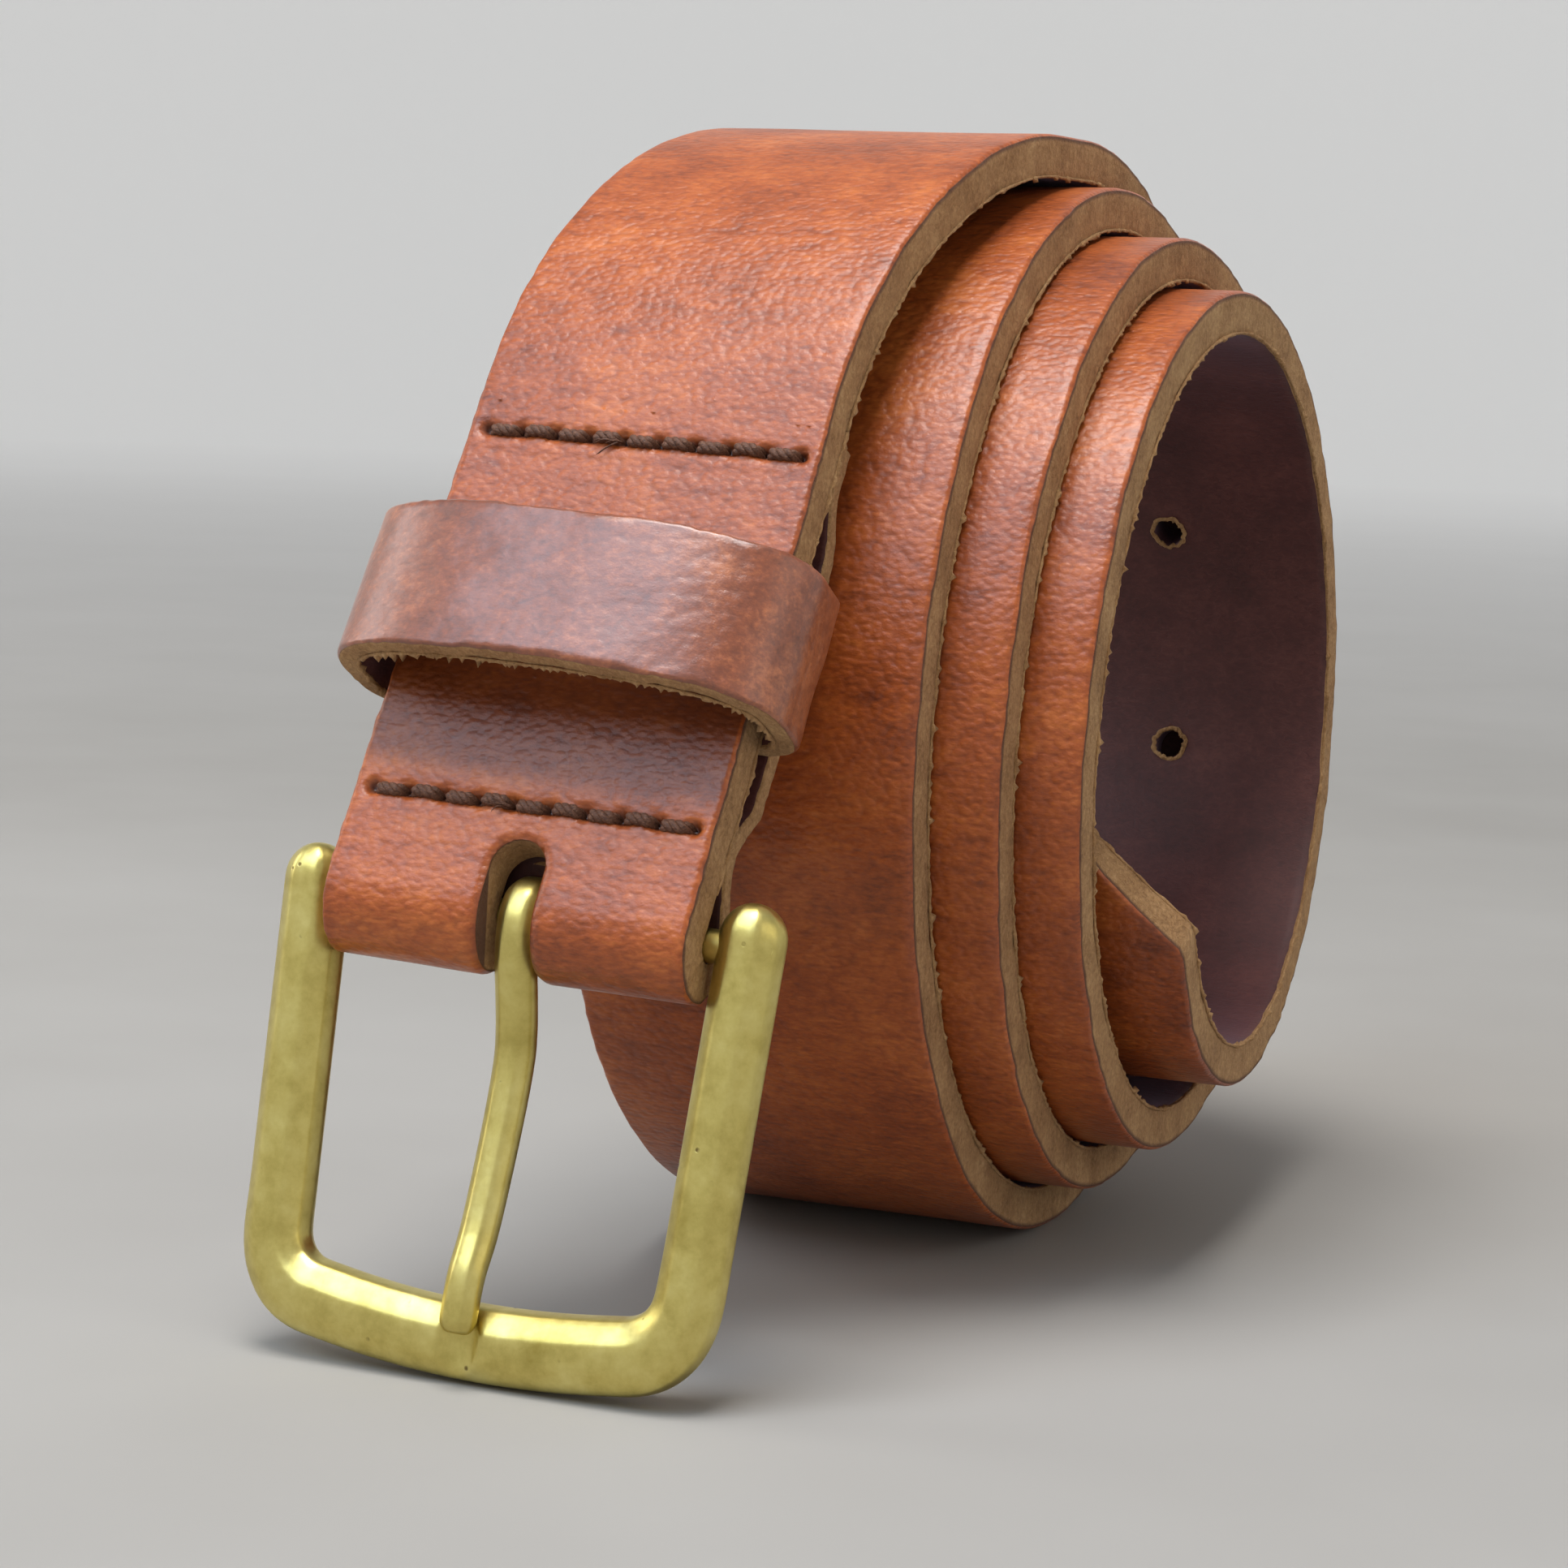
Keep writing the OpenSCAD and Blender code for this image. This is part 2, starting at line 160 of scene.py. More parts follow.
BUCKLE_UP, BUCKLE_OUT = turned(UPWARD, OUTWARD, BUCKLE_LEAN)
KEEPER_ALONG, KEEPER_SIDEWAYS = turned(UPWARD, ACROSS, KEEPER_TURN)
KEEPER_MIDDLE = BAR + KEEPER_V * UPWARD

# Points from their u, v, w: on the straight buckle end, on the hanging buckle, and on the keeper,
# where v starts in the middle of its width
end_place = partial(placed, BAR, ACROSS, UPWARD, OUTWARD)
buckle_place = partial(placed, BAR, ACROSS, BUCKLE_UP, BUCKLE_OUT)
keeper_place = partial(placed, KEEPER_MIDDLE, KEEPER_SIDEWAYS, KEEPER_ALONG, OUTWARD)


def turn_radius(n):
    """Radius of the grain side, n turns in from the top of the roll."""
    return ROLL_R - TURN_PITCH * n - DRAW_IN * np.maximum(0, n - DRAW_FROM) ** 2


def run_drift(f):
    """Sideways drift of the strap, a share f of the way from the roll down to the straight end."""
    skew = math.radians(END_SKEW) * f * f / 2
    return RUN_L * (skew + math.radians(BEND_BOW) / math.pi * (1 - np.cos(np.pi * f)))


END_TOP = BAR + END_L * UPWARD + FACE_W * OUTWARD
ROLL_X = END_TOP[0] + run_drift(1.0)
ROLL_Y = END_TOP[1] + LEAD_L + BEND_R * math.sin(BEND_TURN)
ROLL_Z = END_TOP[2] + BEND_R * (1 - math.cos(BEND_TURN)) - ROLL_R
ROLL_AXIS = np.array([1.0, 0, 0])


# ---------------- strap stations
class Stations:
    """Points along the strap: grain-side centre, across, outward normal, half width, thickness."""

    def __init__(self, point, across, normal, half, thick, v=None):
        n = len(point)
        self.point = point
        self.across = np.broadcast_to(across, (n, 3))
        self.normal = np.broadcast_to(normal, (n, 3))
        self.half = np.broadcast_to(half, n)
        self.thick = np.broadcast_to(thick, n)
        self.v = np.full(n, np.nan) if v is None else v


def join(parts):
    """One line of stations from several, in order."""
    names = ("point", "across", "normal", "half", "thick", "v")
    return Stations(*[np.concatenate([getattr(p, name) for p in parts]) for name in names])


def roll_stations(step):
    """The turns, from the tip out to the top of the roll."""
    last_round = 2 * math.pi * turn_radius(TURNS)
    marks = np.linspace(TURNS, 0, 20001)
    reach = np.concatenate([[0], np.cumsum(-np.diff(marks) * 2 * math.pi * turn_radius(marks[1:]))])
    n = np.interp(np.arange(0, reach[-1], step), reach, marks)
    angle = 2 * np.pi * n
    r = turn_radius(n)
    shift = catmull(TURN_SHIFTS, n)
    point = np.stack([ROLL_X + shift, ROLL_Y + r * np.sin(angle), ROLL_Z + r * np.cos(angle)], -1)
    normal = np.stack([0 * n, np.sin(angle), np.cos(angle)], -1)
    left = (TURNS - n) * last_round
    half = np.minimum(HALF_W, TIP_FLAT / 2 + left * (STRAP_W - TIP_FLAT) / 2 / TIP_L)
    return Stations(point, ROLL_AXIS, normal, half, STRAP_T)


def run_stations(step):
    """From the top of the roll down to the straight end."""
    f = np.linspace(0, 1, int(RUN_L / step))
    a = np.maximum(0, f * RUN_L - LEAD_L) / BEND_R
    k = np.radians(END_SKEW * f + BEND_BOW * np.sin(np.pi * f))
    point = np.stack([ROLL_X - run_drift(f),
                      ROLL_Y - np.minimum(f * RUN_L, LEAD_L) - BEND_R * np.sin(a),
                      ROLL_Z + ROLL_R - BEND_R * (1 - np.cos(a))], -1)
    across = np.stack([np.cos(k), -np.sin(k) * np.cos(a), -np.sin(k) * np.sin(a)], -1)
    normal = np.stack([0 * f, -np.sin(a), np.cos(a)], -1)
    return Stations(point, across, normal, HALF_W, STRAP_T)


def end_stations(high, low, step):
    """The straight front layer, from v = high down to v = low."""
    v = np.linspace(high, low, int(abs(high - low) / step) + 1)
    return Stations(end_place(0.0, v, FACE_W), ACROSS, OUTWARD, HALF_W, STRAP_T, v)


def back_w(v):
    """Level of the turned-back layer's inner face, which the keeper parts from the front layer."""
    joined = FOLD_R - LAYER_GAP
    hump = KEEPER_BACK_W - KEEPER_T - KEEPER_GAP
    low = KEEPER_V - KEEPER_W / 2 - SLIDE - KEEPER_CLEAR
    high = KEEPER_V + KEEPER_W / 2 + SLIDE + KEEPER_CLEAR
    parted = smooth(ROW_LOW, low, v) - smooth(high, ROW_HIGH, v)
    return -FOLD_R + (joined + FOLD_R) * smooth(0, ROW_LOW, v) - (joined - hump) * parted


def fold_stations(steps):
    """Round the bar, where the leather is skived from full to thin."""
    a = np.linspace(0, np.pi, steps + 2)[1:-1]
    thick = STRAP_T + (BACK_T - STRAP_T) * smooth(math.pi / 3, np.pi, a)
    r = FOLD_R + thick
    point = end_place(0.0, -r * np.sin(a), r * np.cos(a))
    normal = -np.sin(a)[:, None] * UPWARD + np.cos(a)[:, None] * OUTWARD
    return Stations(point, ACROSS, normal, HALF_W, thick, np.full(len(a), -1.0))


def back_stations(step):
    """The layer turned back behind the front one, up to its end."""
    v = np.arange(0, END_L - 1, step)
    point = end_place(0.0, v, back_w(v) - BACK_T)
    return Stations(point, ACROSS, -OUTWARD, HALF_W, BACK_T, v)


# ---------------- mesh helpers
def add_mesh(name, points, faces, materials, face_material=None):
    """A smooth-shaded mesh from points in millimetres."""
    mesh = bpy.data.meshes.new(name)
    mesh.from_pydata((np.asarray(points) * MM).tolist(), [], [list(map(int, f)) for f in faces])
    piece = bpy.data.objects.new(name, mesh)
    bpy.context.scene.collection.objects.link(piece)
    for material in materials:
        mesh.materials.append(material)
    if face_material is not None:
        mesh.polygons.foreach_set("material_index", np.asarray(face_material, np.int32))
    mesh.shade_smooth()
    mesh.update()
    return piece


def turned_outwards(points, faces):
    """The faces of a closed mesh, all reversed if it is inside out."""
    quads = np.array([face for face in faces if len(face) == 4])
    a, b, c, d = (points[quads[:, k]] for k in range(4))
    volume = (a * (np.cross(b, c) + np.cross(c, d))).sum()
    for face in faces:
        if len(face) != 4:
            p = points[list(face)]
            volume += (p[0] * np.cross(p[1:-1], p[2:])).sum()
    return faces if volume > 0 else [face[::-1] for face in faces]


def skin(rings, looped=False, caps=True):
    """Points and faces of a tube through equal closed rings."""
    rings = np.asarray(rings)
    count, sides = rings.shape[:2]
    points = rings.reshape(-1, 3)
    faces = []
    for i in range(count if looped else count - 1):
        a, b = i * sides, (i + 1) % count * sides
        faces += [(a + j, a + (j + 1) % sides, b + (j + 1) % sides, b + j) for j in range(sides)]
    if caps and not looped:
        faces.append(tuple(range(sides - 1, -1, -1)))
        faces.append(tuple((count - 1) * sides + j for j in range(sides)))
    if looped or caps:
        faces = turned_outwards(points, faces)
    return points, faces


def merge(parts):
    """Joins several (points, faces) into one."""
    points, faces, base = [], [], 0
    for part_points, part_faces in parts:
        points.append(part_points)
        faces += [tuple(base + k for k in face) for face in part_faces]
        base += len(part_points)
    return np.concatenate(points), faces


def tube(path, radius, sides):
    """A round tube along a path that crosses the strap, with a radius at each point."""
    tangent = unit(np.gradient(path, axis=0))
    x = unit(UPWARD - (UPWARD * tangent).sum(-1, keepdims=True) * tangent)
    y = np.cross(tangent, x)
    angle = circle(sides)[None, :, None]
    r = np.broadcast_to(radius, len(path))[:, None, None]
    return skin(path[:, None] + r * (np.cos(angle) * x[:, None] + np.sin(angle) * y[:, None]))


def set_attribute(piece, name, values):
    """Gives each point a value that a material reads by name."""
    attribute = piece.data.attributes.new(name, "FLOAT", "POINT")
    attribute.data.foreach_set("value", np.asarray(values, np.float32))


# ---------------- node helpers
def plug(tree, socket, value):
    """Links an output to an input, or sets the input's value."""
    if isinstance(value, bpy.types.NodeSocket):
        tree.links.new(value, socket)
    else:
        socket.default_value = value


def fill(tree, node, **inputs):
    """Links or sets a node's inputs, with _ for each space in a name."""
    for key, value in inputs.items():
        plug(tree, node.inputs[key.replace("_", " ")], value)


def add_node(tree, kind, settings=None, **inputs):
    made = tree.nodes.new("ShaderNode" + kind)
    for key, value in (settings or {}).items():
        setattr(made, key, value)
    fill(tree, made, **inputs)
    return made


def calc(tree, operation, a, b, clamp=False):
    made = add_node(tree, "Math", {"operation": operation, "use_clamp": clamp})
    plug(tree, made.inputs[0], a)
    plug(tree, made.inputs[1], b)
    return made.outputs[0]


def weighted(tree, *terms, offset=0.0):
    """Sum of values, each times its weight, plus an offset."""
    total = calc(tree, "MULTIPLY", *terms[0])
    for term in terms[1:]:
        total = calc(tree, "ADD", total, calc(tree, "MULTIPLY", *term))
    return calc(tree, "ADD", total, offset) if offset else total


def mix(tree, factor, a, b):
    """Colour a where the factor is 0, and b where it is 1."""
    made = add_node(tree, "Mix", {"data_type": "RGBA"})
    for socket, value in ((0, factor), (6, a), (7, b)):
        plug(tree, made.inputs[socket], value)
    return made.outputs[2]


def ramp(tree, factor, stops):
    """Colours, or numbers for greys, at places from 0 to 1 and blended between them."""
    made = add_node(tree, "ValToRGB", Fac=factor)
    elements = made.color_ramp.elements
    while len(elements) < len(stops):
        elements.new(0.5)
    for element, (place, colour) in zip(elements, stops):
        element.position = place
        element.color = (*(colour if isinstance(colour, tuple) else [colour] * 3), 1)
    return made.outputs[0]


def stretched(tree, x=1.0, y=1.0, z=1.0):
    """Object coordinates in millimetres, scaled per axis."""
    where = add_node(tree, "TexCoord").outputs["Object"]
    return add_node(tree, "Mapping", Vector=where, Scale=(x / MM, y / MM, z / MM)).outputs[0]


def noise(tree, vector, scale, detail=3.0, roughness=0.55, distortion=0.0):
    """Cloudy values about 0.5, where scale is the lumps in a millimetre."""
    return add_node(tree, "TexNoise", Vector=vector, Scale=scale, Detail=detail,
                    Roughness=roughness, Distortion=distortion).outputs["Fac"]


def cells(tree, vector, scale, feature="F1"):
    """Distance from the nearest cell's middle, where scale is the cells in a millimetre."""
    made = add_node(tree, "TexVoronoi", {"feature": feature}, Vector=vector, Scale=scale)
    return made.outputs["Distance"]


def bump(tree, height, depth_mm, strength, normal=None):
    """Relief of a given depth, on top of an earlier one if it is given."""
    made = add_node(tree, "Bump", Height=height, Strength=strength, Distance=depth_mm * MM)
    if normal is not None:
        plug(tree, made.inputs["Normal"], normal)
    return made.outputs[0]


def new_material(name):
    made = bpy.data.materials.new(name)
    made.use_nodes = True
    tree = made.node_tree
    return made, tree, tree.nodes["Principled BSDF"]


# ---------------- materials
def grain_leather(name, dark, middle, light, streak=0.34, pebble=1.9, pebble_depth=0.15, rough=0.31,
                  coat=0.2):
    """Waxed full-grain leather: soft mottling, streaks across the width, fine pebbles."""
    made, tree, shader = new_material(name)
    even = stretched(tree)
    along = stretched(tree, x=streak)
    cloud = noise(tree, even, 0.075, 4, 0.6)
    streaks = noise(tree, along, 0.85, 5, 0.68, 0.4)
    fine = noise(tree, along, 3.4, 3, 0.6)
    tone = weighted(tree, (cloud, 0.6), (streaks, 0.45), (fine, 0.35), offset=-0.25)
    colour = ramp(tree, tone, [(0.22, dark), (0.46, middle), (0.74, light)])
    pits = cells(tree, stretched(tree, x=0.72), pebble, "SMOOTH_F1")
    grains = ramp(tree, pits, [(0.0, 1), (0.35, 0.75), (0.9, 0)])
    in_pit = ramp(tree, pits, [(0.45, 0), (0.95, 0.55)])
    colour = mix(tree, in_pit, colour, (*dark, 1))
    # painted shade: the strap's shade attribute darkens the colour in the marks' recesses and below
    # the keeper
    shade = add_node(tree, "Attribute", {"attribute_name": "shade"}).outputs["Fac"]
    colour = mix(tree, shade, colour, (*[c * 0.35 for c in dark], 1))
    wrinkle = bump(tree, noise(tree, stretched(tree, x=0.35), 0.55, 4, 0.6), 0.3, 0.35)
    relief = bump(tree, grains, pebble_depth, 0.75, wrinkle)
    fill(tree, shader, Base_Color=colour,
         Roughness=weighted(tree, (noise(tree, along, 1.9, 3), 0.16), offset=rough),
         Normal=bump(tree, noise(tree, even, 6.0, 2), 0.03, 0.8, relief),
         Coat_Weight=coat, Coat_Roughness=0.32, Specular_IOR_Level=0.42)
    return made


def cut_edge(name, dark_line=True):
    """Raw cut edge: tan fibres, and a thin dark line where the finish of the grain side ends."""
    made, tree, shader = new_material(name)
    even = stretched(tree)
    fibre = noise(tree, stretched(tree, y=0.7, z=0.7), 2.6, 5, 0.72, 0.6)
    tone = weighted(tree, (fibre, 0.8), (noise(tree, even, 0.22, 3), 0.5), offset=-0.15)
    colour = ramp(tree, tone, [(0.22, (0.2, 0.096, 0.036)), (0.45, (0.43, 0.232, 0.095)),
                               (0.62, (0.58, 0.34, 0.152)), (0.85, (0.74, 0.5, 0.26))])
    if dark_line:
        depth = add_node(tree, "Attribute", {"attribute_name": "depth"}).outputs["Fac"]
        line = ramp(tree, depth, [(0.0, 1), (0.09, 0.85), (0.17, 0)])
        colour = mix(tree, line, colour, (0.115, 0.045, 0.03, 1))
    fuzz = bump(tree, fibre, 0.45, 0.8)
    fill(tree, shader, Base_Color=colour, Roughness=0.92,
         Normal=bump(tree, noise(tree, even, 4.5, 4, 0.7), 0.18, 0.8, fuzz),
         Sheen_Weight=0.06, Sheen_Roughness=0.5, Specular_IOR_Level=0.2)
    return made


def flesh_leather(name):
    """Flesh side: pasted down dark burgundy, with a soft sheen and short fibres."""
    made, tree, shader = new_material(name)
    cloud = noise(tree, stretched(tree), 0.1, 4, 0.6)
    fibre = noise(tree, stretched(tree, x=0.6), 1.9, 5, 0.7, 0.8)
    tone = weighted(tree, (cloud, 0.6), (fibre, 0.5))
    colour = ramp(tree, tone, [(0.3, (0.036, 0.008, 0.006)), (0.55, (0.08, 0.02, 0.016)),
                               (0.8, (0.15, 0.045, 0.034))])
    fill(tree, shader, Base_Color=colour, Roughness=weighted(tree, (fibre, 0.2), offset=0.44),
         Normal=bump(tree, fibre, 0.12, 0.6), Sheen_Weight=0.2, Sheen_Roughness=0.4,
         Sheen_Tint=(0.75, 0.62, 0.85, 1))
    return made


def waxed_thread(name):
    """Dark brown waxed thread with fine lengthwise fibres."""
    made, tree, shader = new_material(name)
    fibre = noise(tree, stretched(tree, x=0.5), 7.0, 3, 0.7)
    colour = ramp(tree, fibre, [(0.3, (0.038, 0.014, 0.007)), (0.55, (0.125, 0.052, 0.028)),
                                (0.8, (0.27, 0.14, 0.08))])
    fill(tree, shader, Base_Color=colour, Roughness=weighted(tree, (fibre, 0.3), offset=0.38),
         Normal=bump(tree, fibre, 0.08, 0.9), Specular_IOR_Level=0.3)
    return made


def satin_brass(name):
    """Unlacquered brass with a satin finish: fine scratches, small pits, dull patches."""
    made, tree, shader = new_material(name)
    even = stretched(tree)
    patina = noise(tree, even, 0.6, 5, 0.65)
    tone = weighted(tree, (noise(tree, even, 0.16, 4, 0.6), 0.6), (patina, 0.4))
    colour = ramp(tree, tone, [(0.28, (0.43, 0.335, 0.08)), (0.5, (0.64, 0.53, 0.165)),
                               (0.72, (0.78, 0.685, 0.265))])
    specks = ramp(tree, cells(tree, even, 0.42), [(0.0, 1), (0.075, 0.7), (0.11, 0)])
    patches = ramp(tree, noise(tree, even, 0.3), [(0.52, 0), (0.6, 1)])
    spots = calc(tree, "MULTIPLY", specks, patches)
    colour = mix(tree, spots, colour, (0.13, 0.075, 0.025, 1))
    scratch = noise(tree, stretched(tree, x=3.2, y=0.35, z=0.3), 1.8, 4, 0.7)
    cross = noise(tree, stretched(tree, x=0.3, y=2.2, z=2.2), 1.6, 3, 0.7)
    marks = weighted(tree, (scratch, 0.65), (cross, 0.35))
    dents = bump(tree, noise(tree, even, 0.35, 2), 0.2, 0.3)
    wear_relief_and_keeper_shadow = bump(tree, marks, 0.02, 0.45, dents)
    fill(tree, shader, Base_Color=colour, Metallic=1.0,
         Roughness=weighted(tree, (marks, 0.22), (patina, 0.08), offset=0.2),
         Normal=bump(tree, calc(tree, "SUBTRACT", 1.0, spots), 0.05, 0.7, wear_relief_and_keeper_shadow))
    return made


STAGE_REACH = 3.5  # metres from the belt at which the floor's glow is full


def floor_paint(name):
    """Pale matt floor that gets paler and glows faintly far from the belt."""
    made, tree, shader = new_material(name)
    cloud = noise(tree, stretched(tree), 0.012, 3)
    near = ramp(tree, cloud, [(0.3, (0.315, 0.3, 0.275)), (0.7, (0.345, 0.33, 0.305))])
    where = add_node(tree, "TexCoord").outputs["Object"]
    reach = add_node(tree, "VectorMath", {"operation": "LENGTH"}, Vector=where).outputs["Value"]
    far = calc(tree, "DIVIDE", reach, STAGE_REACH, clamp=True)
    pale = ramp(tree, far, [(0.1, 0), (0.55, 1)])
    glow = ramp(tree, far, [(0.12, 0), (0.45, 0.18), (1.0, 0.24)])
    colour = mix(tree, pale, near, (0.8, 0.79, 0.765, 1))
    fill(tree, shader, Base_Color=colour, Emission_Color=glow, Emission_Strength=1.0,
         Roughness=0.8, Specular_IOR_Level=0.25)
    return made


COGNAC = grain_leather("cognac_leather", (0.125, 0.023, 0.006), (0.35, 0.074, 0.012),
                       (0.59, 0.165, 0.03))
KEEPER_GRAIN = grain_leather("keeper_leather", (0.095, 0.022, 0.009), (0.24, 0.06, 0.02),
                             (0.56, 0.18, 0.06), streak=0.6, pebble=1.15, pebble_depth=0.13,
                             rough=0.25, coat=0.9)
TAN_EDGE = cut_edge("tan_cut_edge")
FIBRE = cut_edge("loose_fibre", dark_line=False)
FLESH = flesh_leather("flesh_side")
THREAD = waxed_thread("waxed_thread")
BRASS = satin_brass("satin_brass")


# ---------------- strap
COARSE_COLUMNS = 33  # columns on the grain side of the turns
FINE_RATIO = 3  # fine columns for each coarse one, on the buckle end
FINE_COLUMNS = (COARSE_COLUMNS - 1) * FINE_RATIO + 1
EDGE_POINTS = 8
EDGE_BAND = 0.3  # points this close to the side belong to the cut edge
FINE_FROM = 47.5  # v at which the fine columns start
GRAIN_ROUND, FLESH_ROUND = 0.5, 0.2
HOLE_SPAN = STRAP_W - 2 * STITCH_MARGIN
HOLE_US = np.linspace(-HOLE_SPAN / 2, HOLE_SPAN / 2, STITCH_HOLES)

# Marks in the grain side: a pit at each stitch hole, a groove between the pits, the pressed rim
# of the slot, a crease near the fold and one below the upper row
PIT_U, PIT_V, PIT_DEPTH = 0.58, 0.52, 1.0
GROOVE_W, GROOVE_DEPTH, GROOVE_PAST = 0.75, 0.2, 1.2
RIM_W, RIM_DEPTH, RIM_INSIDE = 0.9, 0.42, 0.6
LOW_CREASE_V, LOW_CREASE_W, LOW_CREASE_DEPTH = 6.4, 0.3, 0.09
HIGH_CREASE_V, HIGH_CREASE_W, HIGH_CREASE_DEPTH = 42.0, 0.35, 0.07
BACK_DENT = 0.6  # depth of the marks on the turned-back layer, as a share
# painted shade in the stitch pits, grooves, slot rim and creases: gain on a mark's depth, the depth
# where it starts, and its most
DENT_SHADE, DENT_SHADE_FROM, SHADE_MOST = 1.3, 0.08, 0.97
KEEPER_SHADE = 0.5  # strength of the painted shadow of the keeper on the strap below it
SHADE_STARTS, SHADE_ENDS = (9.2, 12.5), (30, 33)


def slot_distance(u, v):
    """Distance from the outline of the prong's slot, negative inside it."""
    x = np.abs(u - PRONG_X)
    r = SLOT_W / 2
    return np.where(v > r, np.hypot(x, v - r), x) - r


def stitch_dent(u, v):
    """Depth of the pits and grooves that both rows of stitches pull into the leather."""
    inside = smooth(HALF_W - STITCH_MARGIN + GROOVE_PAST, HALF_W - STITCH_MARGIN, np.abs(u))
    depth = 0
    for row in (ROW_LOW, ROW_HIGH):
        offset = v - row
        pits = sum(np.exp(-(((u - hole) / PIT_U) ** 2 + (offset / PIT_V) ** 2)) for hole in HOLE_US)
        groove = np.exp(-(offset / GROOVE_W) ** 2) * inside
        depth = depth + (PIT_DEPTH * np.minimum(pits, 1) + GROOVE_DEPTH * groove)
    return depth


def front_dent(u, v):
    """All marks on the grain side of the straight end, as a depth."""
    gap = slot_distance(u, v)
    rim = np.clip(1 - gap / RIM_W, 0, 1) ** 2 * (gap > -RIM_INSIDE)
    depth = stitch_dent(u, v) + RIM_DEPTH * rim
    low = LOW_CREASE_V + 0.25 * rough_line(u, 6, 31)
    fading = smooth(-16, -5, u - 3 * rough_line(u, 9, 30))
    depth = depth + LOW_CREASE_DEPTH * np.exp(-((v - low) / LOW_CREASE_W) ** 2) * fading
    high = HIGH_CREASE_V + 0.3 * rough_line(u, 8, 32)
    return depth + HIGH_CREASE_DEPTH * np.exp(-((v - high) / HIGH_CREASE_W) ** 2)


def ragged(u, half, wander):
    """Moves the points on the two cut edges outwards by the wander."""
    return u + np.sign(u) * (np.abs(u) > half - EDGE_BAND) * wander


def section(half, thick, columns):
    """Side and depth of each point round the strap: grain, right edge, flesh, left edge."""
    inner = np.linspace(-1, 1, columns)
    grain_u = inner * (half - GRAIN_ROUND)
    flesh_u = inner[::-1] * (half - FLESH_ROUND)
    turn = np.radians([30, 60, 90])
    edge_u = np.concatenate([half - GRAIN_ROUND + GRAIN_ROUND * np.sin(turn), np.full(5, half)])
    edge_d = np.concatenate([GRAIN_ROUND - GRAIN_ROUND * np.cos(turn),
                             thick * np.array([0.3, 0.48, 0.66, 0.82]), [thick - FLESH_ROUND]])
    u = np.concatenate([grain_u, edge_u, flesh_u, -edge_u[::-1]])
    d = np.concatenate([0 * grain_u, edge_d, np.full(columns, thick), edge_d[::-1]])
    return u, d


def column_kinds(columns):
    """Material index of each column-to-column strip: 0 grain, 1 cut edge, 2 flesh."""
    edge = [0, 0] + [1] * (EDGE_POINTS - 1)
    return [0] * (columns - 1) + edge + [2] * (columns - 1) + edge[::-1]


